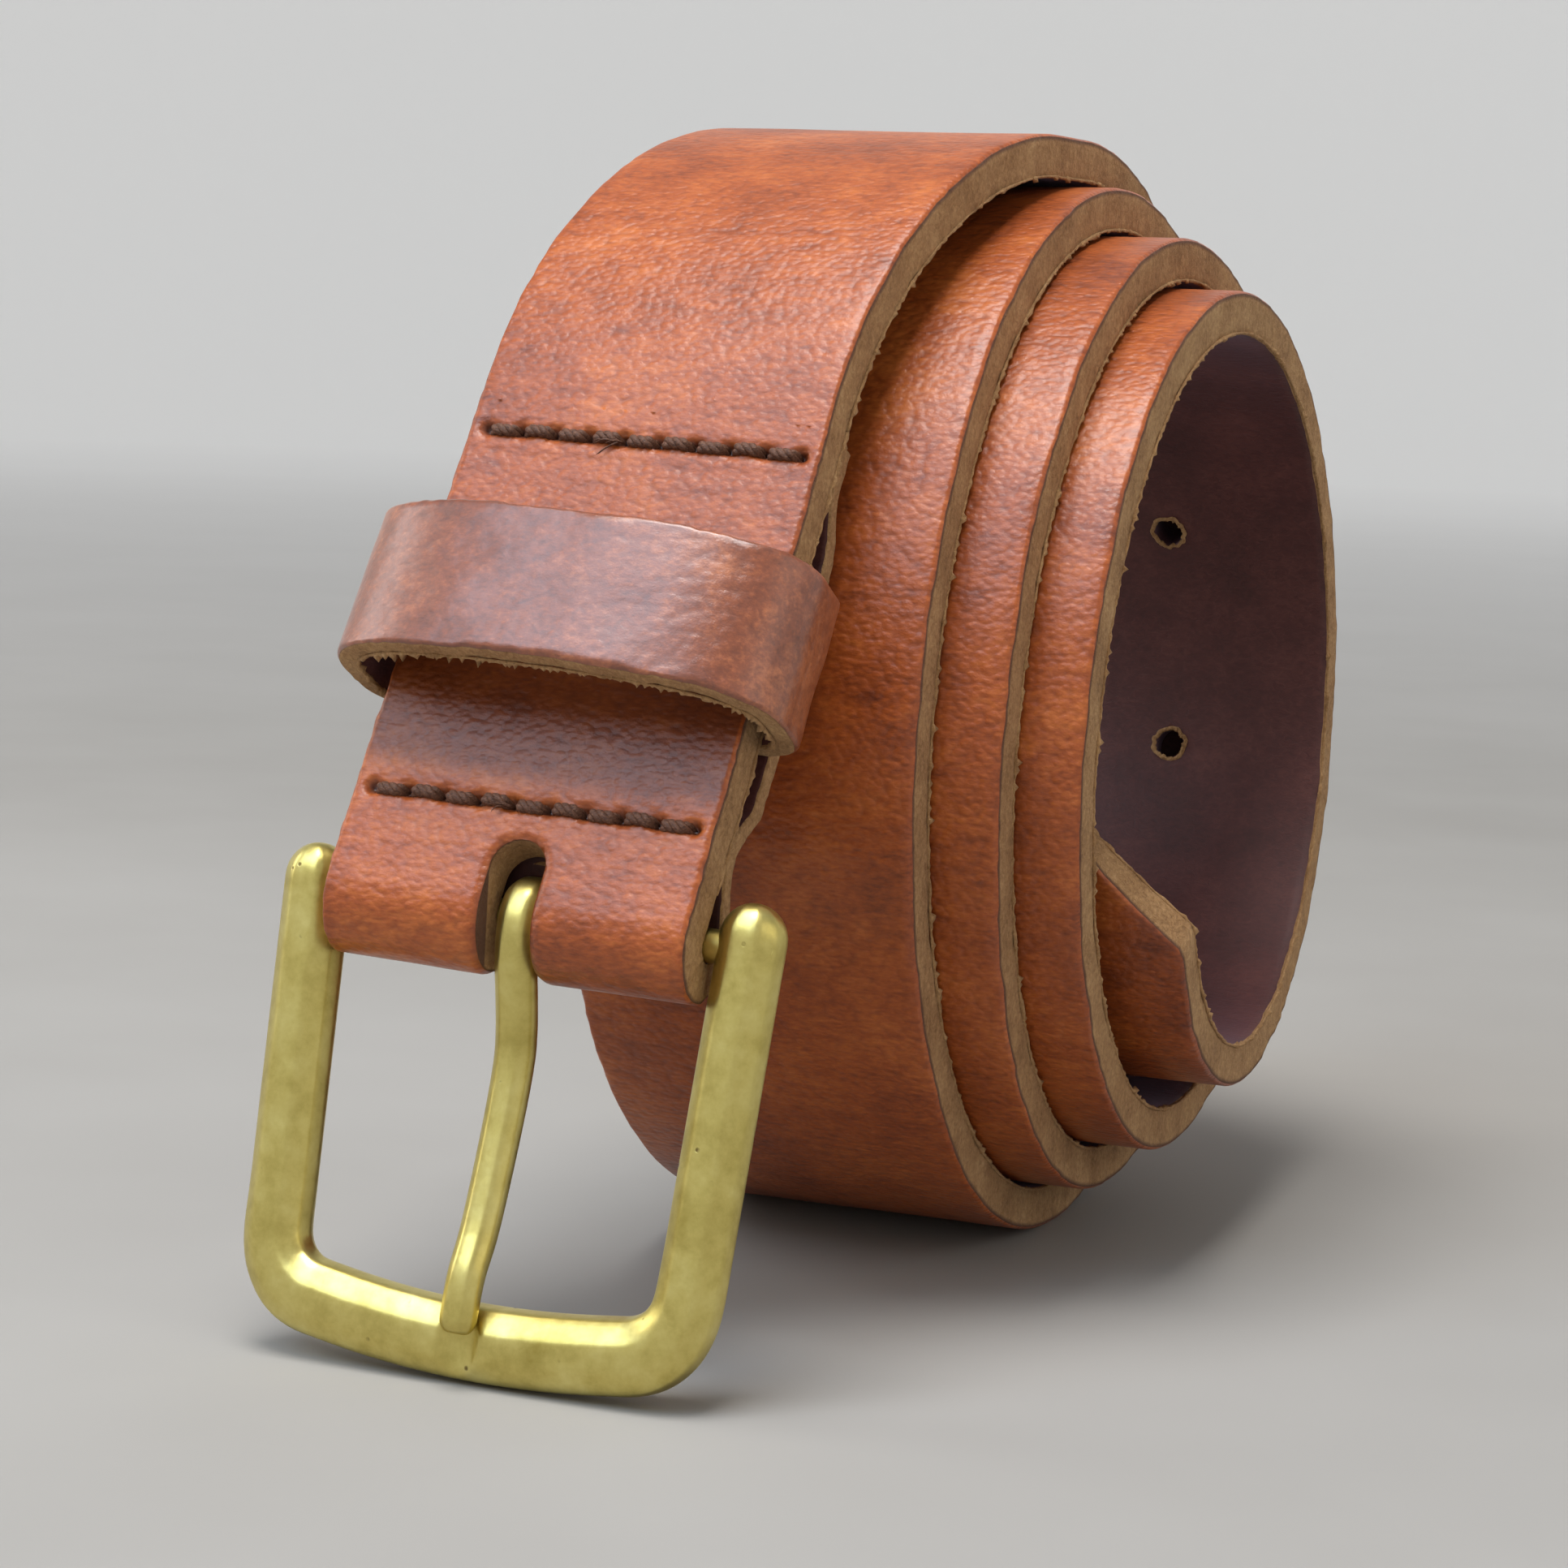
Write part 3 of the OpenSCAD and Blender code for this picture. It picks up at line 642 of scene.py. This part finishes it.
class StrapMesh:
    """The strap's points, faces and materials, gathered ring by ring."""

    def __init__(self):
        self.points, self.depths, self.shades, self.faces, self.kinds = [], [], [], [], []
        self.count = 0

    def ring(self, stations, i, columns, s, front=0):
        """Adds one station's ring. front is 1 on the front layer, -1 on the turned-back one."""
        half, thick = float(stations.half[i]), float(stations.thick[i])
        u, d = section(half, thick, columns)
        shade = 0 * u
        grain = slice(0, columns)
        wander = 0.1 * rough_line(s, 4.0, 3) + 0.06 * rough_line(s + 500, 0.9, 4)
        u = ragged(u, half, wander + 0.05 * rough_area(s, d * 3 + np.sign(u) * 40, 0.8, 5))
        d[grain] += 0.07 * rough_area(s, u[grain] + 60, 7.0, 6)
        if front:
            v = float(stations.v[i])
            if front > 0:
                dent = front_dent(u[grain], np.full(columns, v))
                # painted shadow of the keeper on the front layer, fading in and out between
                # SHADE_STARTS and SHADE_ENDS
                wear_relief_and_keeper_shadow = KEEPER_SHADE * float(smooth(*SHADE_STARTS, v) - smooth(*SHADE_ENDS, v))
            else:
                dent, wear_relief_and_keeper_shadow = BACK_DENT * stitch_dent(u[grain], v), 0
            d[grain] += dent
            # painted shade: the marks' recesses are darkened, and never less than the keeper's
            # painted shadow
            shade[grain] = np.clip(dent * DENT_SHADE - DENT_SHADE_FROM, wear_relief_and_keeper_shadow, SHADE_MOST)
        across, normal = stations.across[i], stations.normal[i]
        point = stations.point[i] + u[:, None] * across - d[:, None] * normal
        self.points.append(point)
        self.depths.append(d / thick)
        self.shades.append(shade)
        first = self.count
        self.count += len(point)
        return np.arange(first, self.count)

    def bridge(self, a, b, columns):
        """Joins two equal rings with faces."""
        kinds = column_kinds(columns)
        for j, kind in enumerate(kinds):
            k = (j + 1) % len(kinds)
            self.faces.append((a[j], b[j], b[k], a[k]))
            self.kinds.append(kind)

    def bridge_to_fine(self, a, b):
        """Joins a coarse ring to a fine one with faces that have the extra points on one side."""
        coarse, fine = COARSE_COLUMNS, FINE_COLUMNS
        starts = ((0, 0, 0), (coarse + EDGE_POINTS, fine + EDGE_POINTS, 2))
        for a0, b0, kind in starts:
            for i in range(coarse - 1):
                extra = [b[b0 + FINE_RATIO * i + k] for k in range(FINE_RATIO + 1)]
                self.faces.append((a[a0 + i], *extra, a[a0 + i + 1]))
                self.kinds.append(kind)
        kinds = column_kinds(coarse)
        ends = ((coarse - 1, fine - 1), (2 * coarse + EDGE_POINTS - 1, 2 * fine + EDGE_POINTS - 1))
        for a0, b0 in ends:
            for i in range(EDGE_POINTS + 1):
                p, q = (a0 + i + 1) % len(a), (b0 + i + 1) % len(b)
                self.faces.append((a[a0 + i], b[b0 + i], b[q], a[p]))
                self.kinds.append(kinds[a0 + i])

    def cap(self, ring, columns, flip):
        """Closes an end with strips between the grain side and the flesh side."""
        flesh = ring[columns + EDGE_POINTS:2 * columns + EDGE_POINTS][::-1]
        strips = [(ring[i], ring[i + 1], flesh[i + 1], flesh[i]) for i in range(columns - 1)]
        right = [ring[columns - 1], *ring[columns:columns + EDGE_POINTS], flesh[-1]]
        left = [flesh[0], *ring[2 * columns + EDGE_POINTS:], ring[0]]
        for face in strips + [tuple(right), tuple(left)]:
            self.faces.append(face[::-1] if flip else face)
            self.kinds.append(1)


def build_strap():
    """The strap before it is punched, with the place, depth and shade of each of its points."""
    coarse = join([roll_stations(1.25), run_stations(1.25),
                   end_stations(END_L - 0.5, FINE_FROM + 0.5, 0.5)])
    front, fold = end_stations(FINE_FROM, 0.0, 0.38), fold_stations(40)
    fine = join([front, fold, back_stations(0.6)])
    travel = length_along(join([coarse, fine]).point)
    made = StrapMesh()
    rings = [made.ring(coarse, i, COARSE_COLUMNS, travel[i]) for i in range(len(coarse.point))]
    fine_rings = []
    for i in range(len(fine.point)):
        layer = 1 if i < len(front.point) + len(fold.point) else -1
        fine_rings.append(made.ring(fine, i, FINE_COLUMNS, travel[len(rings) + i], layer))
    for a, b in zip(rings, rings[1:]):
        made.bridge(a, b, COARSE_COLUMNS)
    made.bridge_to_fine(rings[-1], fine_rings[0])
    for a, b in zip(fine_rings, fine_rings[1:]):
        made.bridge(a, b, FINE_COLUMNS)
    made.cap(rings[0], COARSE_COLUMNS, False)
    made.cap(fine_rings[-1], FINE_COLUMNS, True)
    points = np.concatenate(made.points)
    strap = add_mesh("belt_strap", points, made.faces, [COGNAC, TAN_EDGE, FLESH], made.kinds)
    return strap, points, np.concatenate(made.depths), np.concatenate(made.shades)


def cutter(points, faces, kind):
    """A flat-shaded shape whose cut has the strap's material of the given kind."""
    piece = add_mesh("cutter", points, faces, [COGNAC, TAN_EDGE, FLESH], [kind] * len(faces))
    piece.data.polygons.foreach_set("use_smooth", [False] * len(faces))
    return piece


HOLE_TAPER = 0.7  # the punched wall closes up towards the flesh side
BACK_SLOT = 3.95  # top of the slot in the turned-back layer


def hole_centre(i):
    """Middle of an adjustment hole on the grain side, and the strap's normal there."""
    r = turn_radius(HOLE_TURN) - STRAP_T / 2
    n = HOLE_TURN - i * HOLE_PITCH / (2 * math.pi * r)
    angle = 2 * math.pi * n
    normal = np.array([0, math.sin(angle), math.cos(angle)])
    centre = np.array([ROLL_X + catmull(TURN_SHIFTS, n), ROLL_Y, ROLL_Z]) + turn_radius(n) * normal
    return centre, normal


def round_hole(turn, normal):
    """Unit vectors round a hole, at the given turns."""
    return np.cos(turn)[:, None] * ROLL_AXIS + np.sin(turn)[:, None] * np.cross(normal, ROLL_AXIS)


def punch_shapes():
    """Cutters for the adjustment holes and for the prong's slot."""
    shapes = []
    turn = circle(40)
    for i in range(HOLE_COUNT):
        centre, normal = hole_centre(i)
        r = HOLE_D / 2 * (1 + 0.02 * np.cos(3 * turn + i))
        ring = r[:, None] * round_hole(turn, normal)
        low, high = centre - 4.6 * normal + HOLE_TAPER * ring, centre + 0.28 * normal + ring
        shapes.append((*skin([low, high]), 2))
    arc = np.linspace(0, np.pi, 25)
    r = SLOT_W / 2
    u = PRONG_X + np.concatenate([r * np.cos(arc), [-r, r]])
    for top, low, high in ((2 * r, 0.4, 9.0), (BACK_SLOT, -9.0, 0.6)):
        v = np.concatenate([top - r + r * np.sin(arc), [-12, -12]])
        shapes.append((*skin([end_place(u, v, low), end_place(u, v, high)]), 1))
    return shapes


def cut_strap(strap, points, depths, shades):
    """Punches the holes and the slot, then gives the attributes to the cut mesh."""
    tools = [cutter(*shape) for shape in punch_shapes()]
    for tool in tools:
        change = strap.modifiers.new("punch", "BOOLEAN")
        change.object = tool
        change.operation = "DIFFERENCE"
        change.solver = "EXACT"
    graph = bpy.context.evaluated_depsgraph_get()
    cut = bpy.data.meshes.new_from_object(strap.evaluated_get(graph))
    strap.modifiers.clear()
    strap.data = cut
    for tool in tools:
        bpy.data.objects.remove(tool)
    tree = KDTree(len(points))
    for i, point in enumerate(points * MM):
        tree.insert(point, i)
    tree.balance()
    nearest = [tree.find(vertex.co)[1] for vertex in cut.vertices]
    set_attribute(strap, "depth", depths[nearest])
    set_attribute(strap, "shade", shades[nearest])


strap, strap_points, strap_depths, strap_shades = build_strap()
cut_strap(strap, strap_points, strap_depths, strap_shades)
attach(strap, "belt")
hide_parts("strap", "strap_fold")


# ---------------- loose fibres
def fringe(line, out, down, seed, base=0.13, tuft=0.55, looped=False):
    """A ragged bead of fibres along an edge; out and down span its cross-section."""
    count = len(line)
    dice = np.random.RandomState(seed)
    lump = np.abs(rough_line(np.arange(count), 2.2, seed + 1)) ** 1.6
    spike = dice.uniform(0, 1, count) ** 9
    reach = base + tuft * (0.35 * lump + 0.8 * spike)
    lean = 0.5 * rough_line(np.arange(count), 1.6, seed + 2)
    angles = np.radians([200, 270, 330, 30, 100])
    grow = np.array([0.25, 0.8, 1.0, 0.5, 0.25])
    rings = []
    for k in range(len(angles)):
        r = (base + (reach - base) * grow[k])[:, None]
        a = (angles[k] + lean * grow[k])[:, None]
        rings.append(line + r * (np.cos(a) * out + np.sin(a) * down))
    return skin(np.stack(rings, 1), looped=looped)


def strap_fringe():
    """Fibres along both flesh-side corners of the turns and of the front layer."""
    lines = join([roll_stations(0.42), run_stations(0.42), end_stations(END_L, 4.0, 0.42)])
    parts = []
    for seed, side in ((11, 1), (12, -1)):
        corner = (lines.half * side)[:, None] * lines.across
        line = lines.point + corner - (lines.thick - 0.16)[:, None] * lines.normal
        parts.append(fringe(line, side * lines.across, lines.normal, seed))
    return add_mesh("strap_fibres", *merge(parts), [FIBRE])


def hole_rims():
    """Lifted fibres round each adjustment hole on the flesh side."""
    parts = []
    turn = circle(72)
    for i in range(HOLE_COUNT):
        centre, normal = hole_centre(i)
        out = round_hole(turn, normal)
        reach = HOLE_TAPER * HOLE_D / 2 + 0.25 + 0.15 * rough_line(np.arange(72), 3, 60 + i)
        line = centre - (STRAP_T - 0.02) * normal + reach[:, None] * out
        down = np.broadcast_to(normal, out.shape)
        parts.append(fringe(line, -out, down, 70 + i, 0.24, 0.3, True))
    return add_mesh("hole_fibres", *merge(parts), [FIBRE])


for fibres in (strap_fringe(), hole_rims()):
    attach(fibres, "belt")


# ---------------- stitching
THREAD_PLY, PLY_OFFSET, TWIST_PITCH = 0.34, 0.29, 2.3
DIVE_L, DIVE_DEPTH, STITCH_RISE, STITCH_BOW = 0.62, 1.15, 1.32, 0.1
STITCH_INSET, FRONT_SINK, BACK_SINK = 0.34, 0.22, 0.12


def stitch(u0, u1, v, face, sign, phase):
    """One twisted stitch from hole to hole. sign is 1 on the front, -1 on the back."""
    f = np.linspace(0, 1, 30)
    dive = np.clip(np.minimum(f, 1 - f) * abs(u1 - u0) / DIVE_L, 0, 1)
    rise = STITCH_RISE * np.sin(dive * np.pi / 2) ** 0.9 - DIVE_DEPTH
    bow = STITCH_BOW * np.sin(np.pi * f)
    wave = bow if phase % 2 else -bow
    core = end_place(u0 + (u1 - u0) * f, v + wave, face + sign * (rise + bow))
    parts = []
    for ply in range(3):
        turn = 2 * np.pi * (abs(u1 - u0) * f / TWIST_PITCH + ply / 3 + 0.37 * phase)
        swing = np.cos(turn)[:, None] * UPWARD + 0.8 * np.sin(turn)[:, None] * OUTWARD
        parts.append(tube(core + PLY_OFFSET * swing, THREAD_PLY, 8))
    return merge(parts)


def frayed_tail(u, v, face, seed):
    """A few cut fibres where the thread was tied off."""
    dice = np.random.RandomState(seed)
    parts = []
    for _ in range(7):
        f = np.linspace(0, 1, 9)
        length = dice.uniform(1.0, 2.4)
        heading = dice.uniform(-0.9, 0.5)
        du = -length * f * math.cos(heading)
        dv = length * f * math.sin(heading) - 0.3 * f * f
        dw = 0.15 + dice.uniform(0.2, 0.7) * np.sin(f * 2.4)
        path = end_place(u + du + dice.uniform(-0.4, 0.4), v + dv, face + dw)
        parts.append(tube(path, 0.11 * (1 - 0.75 * f), 5))
    return merge(parts)


def stitch_row(name, node, v, seed):
    """A row of stitches on both faces, with a frayed tail near its middle."""
    parts = []
    back = float(back_w(v)) - BACK_T
    jitter = np.random.RandomState(seed).uniform(-0.1, 0.1, STITCH_HOLES)
    for i in range(STITCH_HOLES - 1):
        u0, u1 = HOLE_US[i] + STITCH_INSET, HOLE_US[i + 1] - STITCH_INSET
        for face, sign in ((FACE_W - FRONT_SINK, 1), (back + BACK_SINK, -1)):
            parts.append(stitch(u0, u1, v + jitter[i] * 0.5, face, sign, i))
    parts.append(frayed_tail(HOLE_US[STITCH_HOLES // 2 - 1] - 0.3, v - 0.3, FACE_W - 0.1, seed + 5))
    piece = add_mesh(name, *merge(parts), [THREAD])
    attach(piece, "belt")
    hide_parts(node)


stitch_row("upper_stitches", "upper_stitching", ROW_HIGH, 21)
stitch_row("lower_stitches", "lower_stitching", ROW_LOW, 22)


# ---------------- keeper
ARCH_POWER, BACK_POWER = 2.5, 8.0  # of the superellipses over and behind the front layer
KEEPER_COLUMNS = 27


def signed_power(x, power):
    return np.sign(x) * np.abs(x) ** (2 / power)


def keeper_inner(a):
    """Inner outline of the keeper as u, w round its loop."""
    arch = np.sin(a) >= 0
    power = np.where(arch, ARCH_POWER, BACK_POWER)
    middle = FACE_W + KEEPER_RISE
    height = np.where(arch, FACE_W + KEEPER_ROOM - middle, middle - KEEPER_BACK_W)
    u = (HALF_W + KEEPER_SIDE) * signed_power(np.cos(a), power)
    return np.stack([u, middle + height * signed_power(np.sin(a), power)], -1)


def keeper_outline(count):
    """Even points round the inner outline, their outward normals and their distances along it."""
    dense = keeper_inner(np.linspace(0, 2 * np.pi, 20001) + 0.3)
    reach = length_along(dense)
    marks = np.linspace(0, reach[-1], count, endpoint=False)
    inner = spaced(dense, reach, marks)
    ahead = np.roll(inner, -2, axis=0) - np.roll(inner, 2, axis=0)
    return inner, unit(np.stack([ahead[:, 1], -ahead[:, 0]], -1)), marks


def build_keeper():
    """The keeper's leather band, with a rough cut edge on each side."""
    inner, normal, marks = keeper_outline(280)
    half, columns = KEEPER_W / 2, KEEPER_COLUMNS
    u, d = section(half, KEEPER_T, columns)
    rings, depths = [], []
    for i, mark in enumerate(marks):
        deep = d.copy()
        along = ragged(u, half, 0.14 * rough_line(mark, 6, 41) + 0.07 * rough_line(mark, 0.8, 42))
        deep[:columns] += 0.1 * rough_area(mark, along[:columns] + 30, 4.0, 43)
        place = inner[i] + (KEEPER_T - deep)[:, None] * normal[i]
        rings.append(keeper_place(place[:, 0], along, place[:, 1]))
        depths.append(deep / KEEPER_T)
    points, faces = skin(np.array(rings), looped=True)
    kinds = column_kinds(columns) * len(inner)
    keeper = add_mesh("keeper_band", points, faces, [KEEPER_GRAIN, TAN_EDGE, FLESH], kinds)
    set_attribute(keeper, "depth", np.concatenate(depths))
    return keeper


def keeper_fringe():
    """Fibres along both inner edges of the keeper."""
    inner, normal, _ = keeper_outline(430)
    parts = []
    for seed, side in ((51, -1), (52, 1)):
        place = inner + 0.14 * normal
        line = keeper_place(place[:, 0], side * (KEEPER_W / 2), place[:, 1])
        down = normal[:, :1] * KEEPER_SIDEWAYS + normal[:, 1:] * OUTWARD
        out = np.broadcast_to(side * KEEPER_ALONG, line.shape)
        parts.append(fringe(line, out, down, seed, 0.14, 0.8, True))
    return add_mesh("keeper_fibres", *merge(parts), [FIBRE])


keeper = build_keeper()
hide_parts("keeper_loop")
for piece in (keeper, keeper_fringe()):
    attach(piece, "keeper")


# ---------------- brass
def chaikin(points, rounds, cut=0.22):
    """Rounds the corners of a closed outline."""
    for _ in range(rounds):
        after = np.roll(points, -1, axis=-2)
        first = points * (1 - cut) + after * cut
        second = points * cut + after * (1 - cut)
        points = np.stack([first, second], -2).reshape(*points.shape[:-2], -1, 2)
    return points


# Sections as [outwards, forwards] from -1 to 1: the arms are faceted, the rail is broad and round
ARM_SHAPE = np.array([(0.4, 1.0), (-0.36, 1.0), (-0.86, 0.42), (-1.0, -0.25), (-0.72, -0.92),
                      (0.0, -1.0), (0.72, -0.92), (1.0, -0.25), (0.9, 0.42)])
RAIL_SHAPE = np.array([(0.45, 0.98), (-0.28, 1.04), (-0.88, 0.58), (-1.0, -0.15), (-0.74, -0.92),
                       (0.0, -1.0), (0.74, -0.92), (1.0, -0.25), (0.95, 0.5)])


def frame_path(step):
    """Middle line of the frame in the buckle's plane, from one arm's top to the other's."""
    arm = (BUCKLE_W - ARM_W) / 2
    corner_v = CORNER_R + RAIL_BOW - FRAME_DROP
    rail = arm - CORNER_R
    turn = np.linspace(0, np.pi / 2, 24)
    left = np.stack([-arm + CORNER_R * (1 - np.cos(turn)), corner_v - CORNER_R * np.sin(turn)], -1)
    x = np.linspace(-rail, rail, 60)[1:-1]
    bow = np.stack([x, corner_v - CORNER_R - RAIL_BOW * (1 - (x / rail) ** 2)], -1)
    right = left[::-1] * [-1, 1]
    top = np.array([[-arm, ARM_TOP]])
    dense = np.concatenate([top, left, bow, right, top * [-1, 1]])
    reach = length_along(dense)
    path = spaced(dense, reach, np.linspace(0, reach[-1], int(reach[-1] / step)))
    path[:, 0] *= 1 - ARM_DRAW / arm * np.maximum(0, ARM_TOP - path[:, 1]) / FRAME_DROP
    return path


def soften(values, passes):
    """Smooths a line of points, keeping its ends."""
    for _ in range(passes):
        values[1:-1] = (values[:-2] + 2 * values[1:-1] + values[2:]) / 4
    return values


def build_frame():
    """The casting in one skin, with rounded arm tops and the notch for the prong."""
    path = soften(frame_path(0.4), 10)
    tangent = unit(np.gradient(path, axis=0))
    outwards = np.stack([tangent[:, 1], -tangent[:, 0]], -1)
    along = smooth(0.05, 0.95, np.clip(np.abs(tangent[:, 0]), 0, 1))
    height = smooth(ARM_TOP - 26, ARM_TOP - 34, path[:, 1])
    blend = np.maximum(along, 0.7 * height)
    half_w = (ARM_W + (RAIL_W - ARM_W) * along) / 2
    shapes = ARM_SHAPE * (1 - blend)[:, None, None] + RAIL_SHAPE * blend[:, None, None]
    shapes = chaikin(chaikin(shapes, 1, 0.14), 1, 0.25)

    # Each section as its centre, its place on the path and how full it is, from 0 to 1
    cap = np.radians([4, 12, 22, 34, 46, 58, 68, 78])
    reach = tangent * ARM_W / 2
    sections = [(path[0] - reach[0] * math.cos(a), 0, math.sin(a)) for a in cap]
    sections += [(path[i], i, 1.0) for i in range(len(path))]
    sections += [(path[-1] + reach[-1] * math.cos(a), -1, math.sin(a)) for a in cap[::-1]]
    rings = []
    for centre, i, full in sections:
        x = shapes[i][:, 0] * (half_w[i] * full)
        w = FRAME_FRONT - FRAME_D / 2 + shapes[i][:, 1] * (FRAME_D / 2 * full ** 0.8)
        u, v = centre[0] + x * outwards[i][0], centre[1] + x * outwards[i][1]
        near = np.abs(u - PRONG_X)
        hollow = np.sqrt(np.maximum(NOTCH_R ** 2 - near ** 2, 0))
        floor = FRAME_FRONT + NOTCH_R - NOTCH_DEPTH - hollow
        notched = (near < NOTCH_R) & (v < -FRAME_DROP / 2)
        rings.append(buckle_place(u, v, np.where(notched, np.minimum(w, floor), w)))
    piece = add_mesh("brass_frame", *skin(np.array(rings)), [BRASS])
    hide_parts("buckle_frame")
    return piece


# The blade's middle line as [v, w], and its section as [across, forwards] from -1 to 1
PRONG_PATH = np.array([(1.2, 2.6), (-1.5, 2.6), (-4, 2.0), (-7, 0.9), (-10, -0.05), (-13, -0.4),
                       (-19, 0.2), (-27, 1.6), (-31.1, 2.95), (-34.6, 3.3), (-36.2, 3.3)])
PRONG_SHAPE = np.array([(0.46, 1.0), (-0.46, 1.0), (-0.98, 0.35), (-1.0, -0.45), (-0.62, -1.0),
                        (0.62, -1.0), (1.0, -0.45), (0.98, 0.35)])
EYE_MIDDLE = 2.66  # radius of the middle line round the bar
EYE_HALF_T, BLADE_HALF_T, TIP_ROUND = 1.12, 1.4, 1.3


def build_prong():
    """A bent strip: hooked over the bar, dipping into the window and resting in the notch."""
    hook = np.radians(np.linspace(232, 28, 34))
    eye = np.stack([EYE_MIDDLE * np.sin(hook), EYE_MIDDLE * np.cos(hook)], -1)
    blade = catmull(PRONG_PATH, np.linspace(0.35, len(PRONG_PATH) - 1, 130))
    path = soften(np.concatenate([eye, blade]), 3)
    tangent = unit(np.gradient(path, axis=0))
    front = np.stack([tangent[:, 1], -tangent[:, 0]], -1)
    done = np.linspace(0, 1, len(path))
    wide = PRONG_W / 2 * (1 - 0.13 * smooth(0.35, 1.0, done))
    thick = EYE_HALF_T + (BLADE_HALF_T - EYE_HALF_T) * smooth(0.12, 0.3, done)
    thick = thick * (1 - 0.14 * smooth(0.55, 0.98, done))
    left = np.clip(np.linalg.norm(path - path[-1], axis=1) / TIP_ROUND, 0, 1)
    tip = np.sqrt(np.clip(1 - (1 - left) ** 2, 0.01, 1))
    shape = chaikin(chaikin(PRONG_SHAPE, 1, 0.16), 1, 0.25)
    rings = []
    for i in range(len(path)):
        x = PRONG_X + shape[:, 0] * wide[i] * (0.45 + 0.55 * tip[i])
        out = shape[:, 1] * thick[i] * tip[i]
        v, w = path[i, 0] + out * front[i, 0], path[i, 1] + out * front[i, 1]
        rings.append(buckle_place(x, v, w))
    piece = add_mesh("brass_prong", *skin(np.array(rings)), [BRASS])
    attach(piece, "prong")
    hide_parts("prong")


brass_frame = build_frame()
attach(brass_frame, "buckle")
build_prong()


def dress_cad_node(name, material):
    """Gives a node of the frame, kept as it is, its material."""
    node_mesh = frame["nodes"][name].data
    node_mesh.materials.clear()
    node_mesh.materials.append(material)


dress_cad_node("buckle_bar", BRASS)
dress_cad_node("keeper_stitching", THREAD)


# ---------------- stage, lights, camera
def build_stage():
    """A pale floor that curves up into a wall on every side, far from the belt."""
    radius, bend, wall = 2.2, 1.2, 1.6
    turn = np.linspace(0, np.pi / 2, 14)
    profile = [(r, 0.0) for r in (0.15, 0.4, 0.9, 1.5, radius)]
    profile += [(radius + bend * math.sin(a), bend * (1 - math.cos(a))) for a in turn[1:]]
    profile.append((radius + bend, bend + wall))
    around = circle(96)
    rings = [np.stack([r * np.cos(around), r * np.sin(around), 0 * around + z], -1)
             for r, z in profile]
    points, faces = skin(np.array(rings) / MM, caps=False)
    faces.append(tuple(range(len(around) - 1, -1, -1)))
    faces = [face[::-1] for face in faces]
    floor = add_mesh("floor", points, faces, [floor_paint("floor_paint")])


def add_light(name, azimuth, elevation, distance, size, power, colour, aim=(0, 0, 0.05)):
    """A soft panel that faces the belt. Azimuth 0 is in front of the buckle, 90 is to its right."""
    a, e = math.radians(azimuth), math.radians(elevation)
    direction = Vector((math.sin(a) * math.cos(e), -math.cos(a) * math.cos(e), math.sin(e)))
    data = bpy.data.lights.new(name, "AREA")
    data.shape = "RECTANGLE"
    data.size, data.size_y = size
    data.energy = power
    data.color = colour
    lamp = bpy.data.objects.new(name, data)
    lamp.location = Vector(aim) + direction * distance
    lamp.rotation_euler = direction.to_track_quat("Z", "Y").to_euler()
    bpy.context.scene.collection.objects.link(lamp)


def build_world():
    """A dim sky, paler and bluer towards the top."""
    world = bpy.data.worlds.new("studio")
    bpy.context.scene.world = world
    world.use_nodes = True
    tree = world.node_tree
    where = add_node(tree, "TexCoord").outputs["Generated"]
    up = add_node(tree, "SeparateXYZ", Vector=where).outputs["Z"]
    sky = ramp(tree, up, [(0.0, (0.45, 0.45, 0.46)), (0.5, (0.72, 0.74, 0.77)),
                          (1.0, (0.85, 0.9, 1.0))])
    fill(tree, tree.nodes["Background"], Color=sky, Strength=0.34)


CAMERA_FROM_BAR = (0.13609, -0.28436, 0.05349)  # in metres
CAMERA_TURN = (21.595, -7.383, 2.069)  # azimuth, pitch and roll in degrees
CAMERA_LENS = 83.66  # in millimetres, for a 36 mm sensor


def build_camera():
    """The camera, in front of the buckle and to its right."""
    azimuth, pitch, roll = (math.radians(angle) for angle in CAMERA_TURN)
    forward = Vector((-math.sin(azimuth) * math.cos(pitch), math.cos(azimuth) * math.cos(pitch),
                      math.sin(pitch)))
    place = Vector(BAR * MM) + Vector(CAMERA_FROM_BAR)
    right = forward.cross(Vector((0, 0, 1))).normalized()
    up = right.cross(forward)
    x_axis = right * math.cos(roll) + up * math.sin(roll)
    y_axis = up * math.cos(roll) - right * math.sin(roll)
    turn = Matrix((x_axis, y_axis, -forward)).transposed().to_4x4()
    data = bpy.data.cameras.new("camera")
    data.lens = CAMERA_LENS
    data.sensor_width = 36.0
    data.clip_start = 0.01
    camera = bpy.data.objects.new("camera", data)
    camera.matrix_world = Matrix.Translation(place) @ turn
    bpy.context.scene.collection.objects.link(camera)
    bpy.context.scene.camera = camera


build_stage()
build_world()
build_camera()
add_light("ceiling", -12, 79, 0.9, (0.42, 0.42), 8.2, (1.0, 0.98, 0.97))
add_light("window", -27, 47, 0.85, (0.5, 0.5), 3.6, (0.66, 0.8, 1.0))
add_light("left_strip", -80, 24, 0.8, (0.25, 0.45), 1.2, (0.95, 0.97, 1.0))
add_light("right_fill", 75, 30, 0.9, (0.4, 0.6), 0.6, (1.0, 0.96, 0.9))
bpy.context.scene.view_settings.view_transform = "Standard"
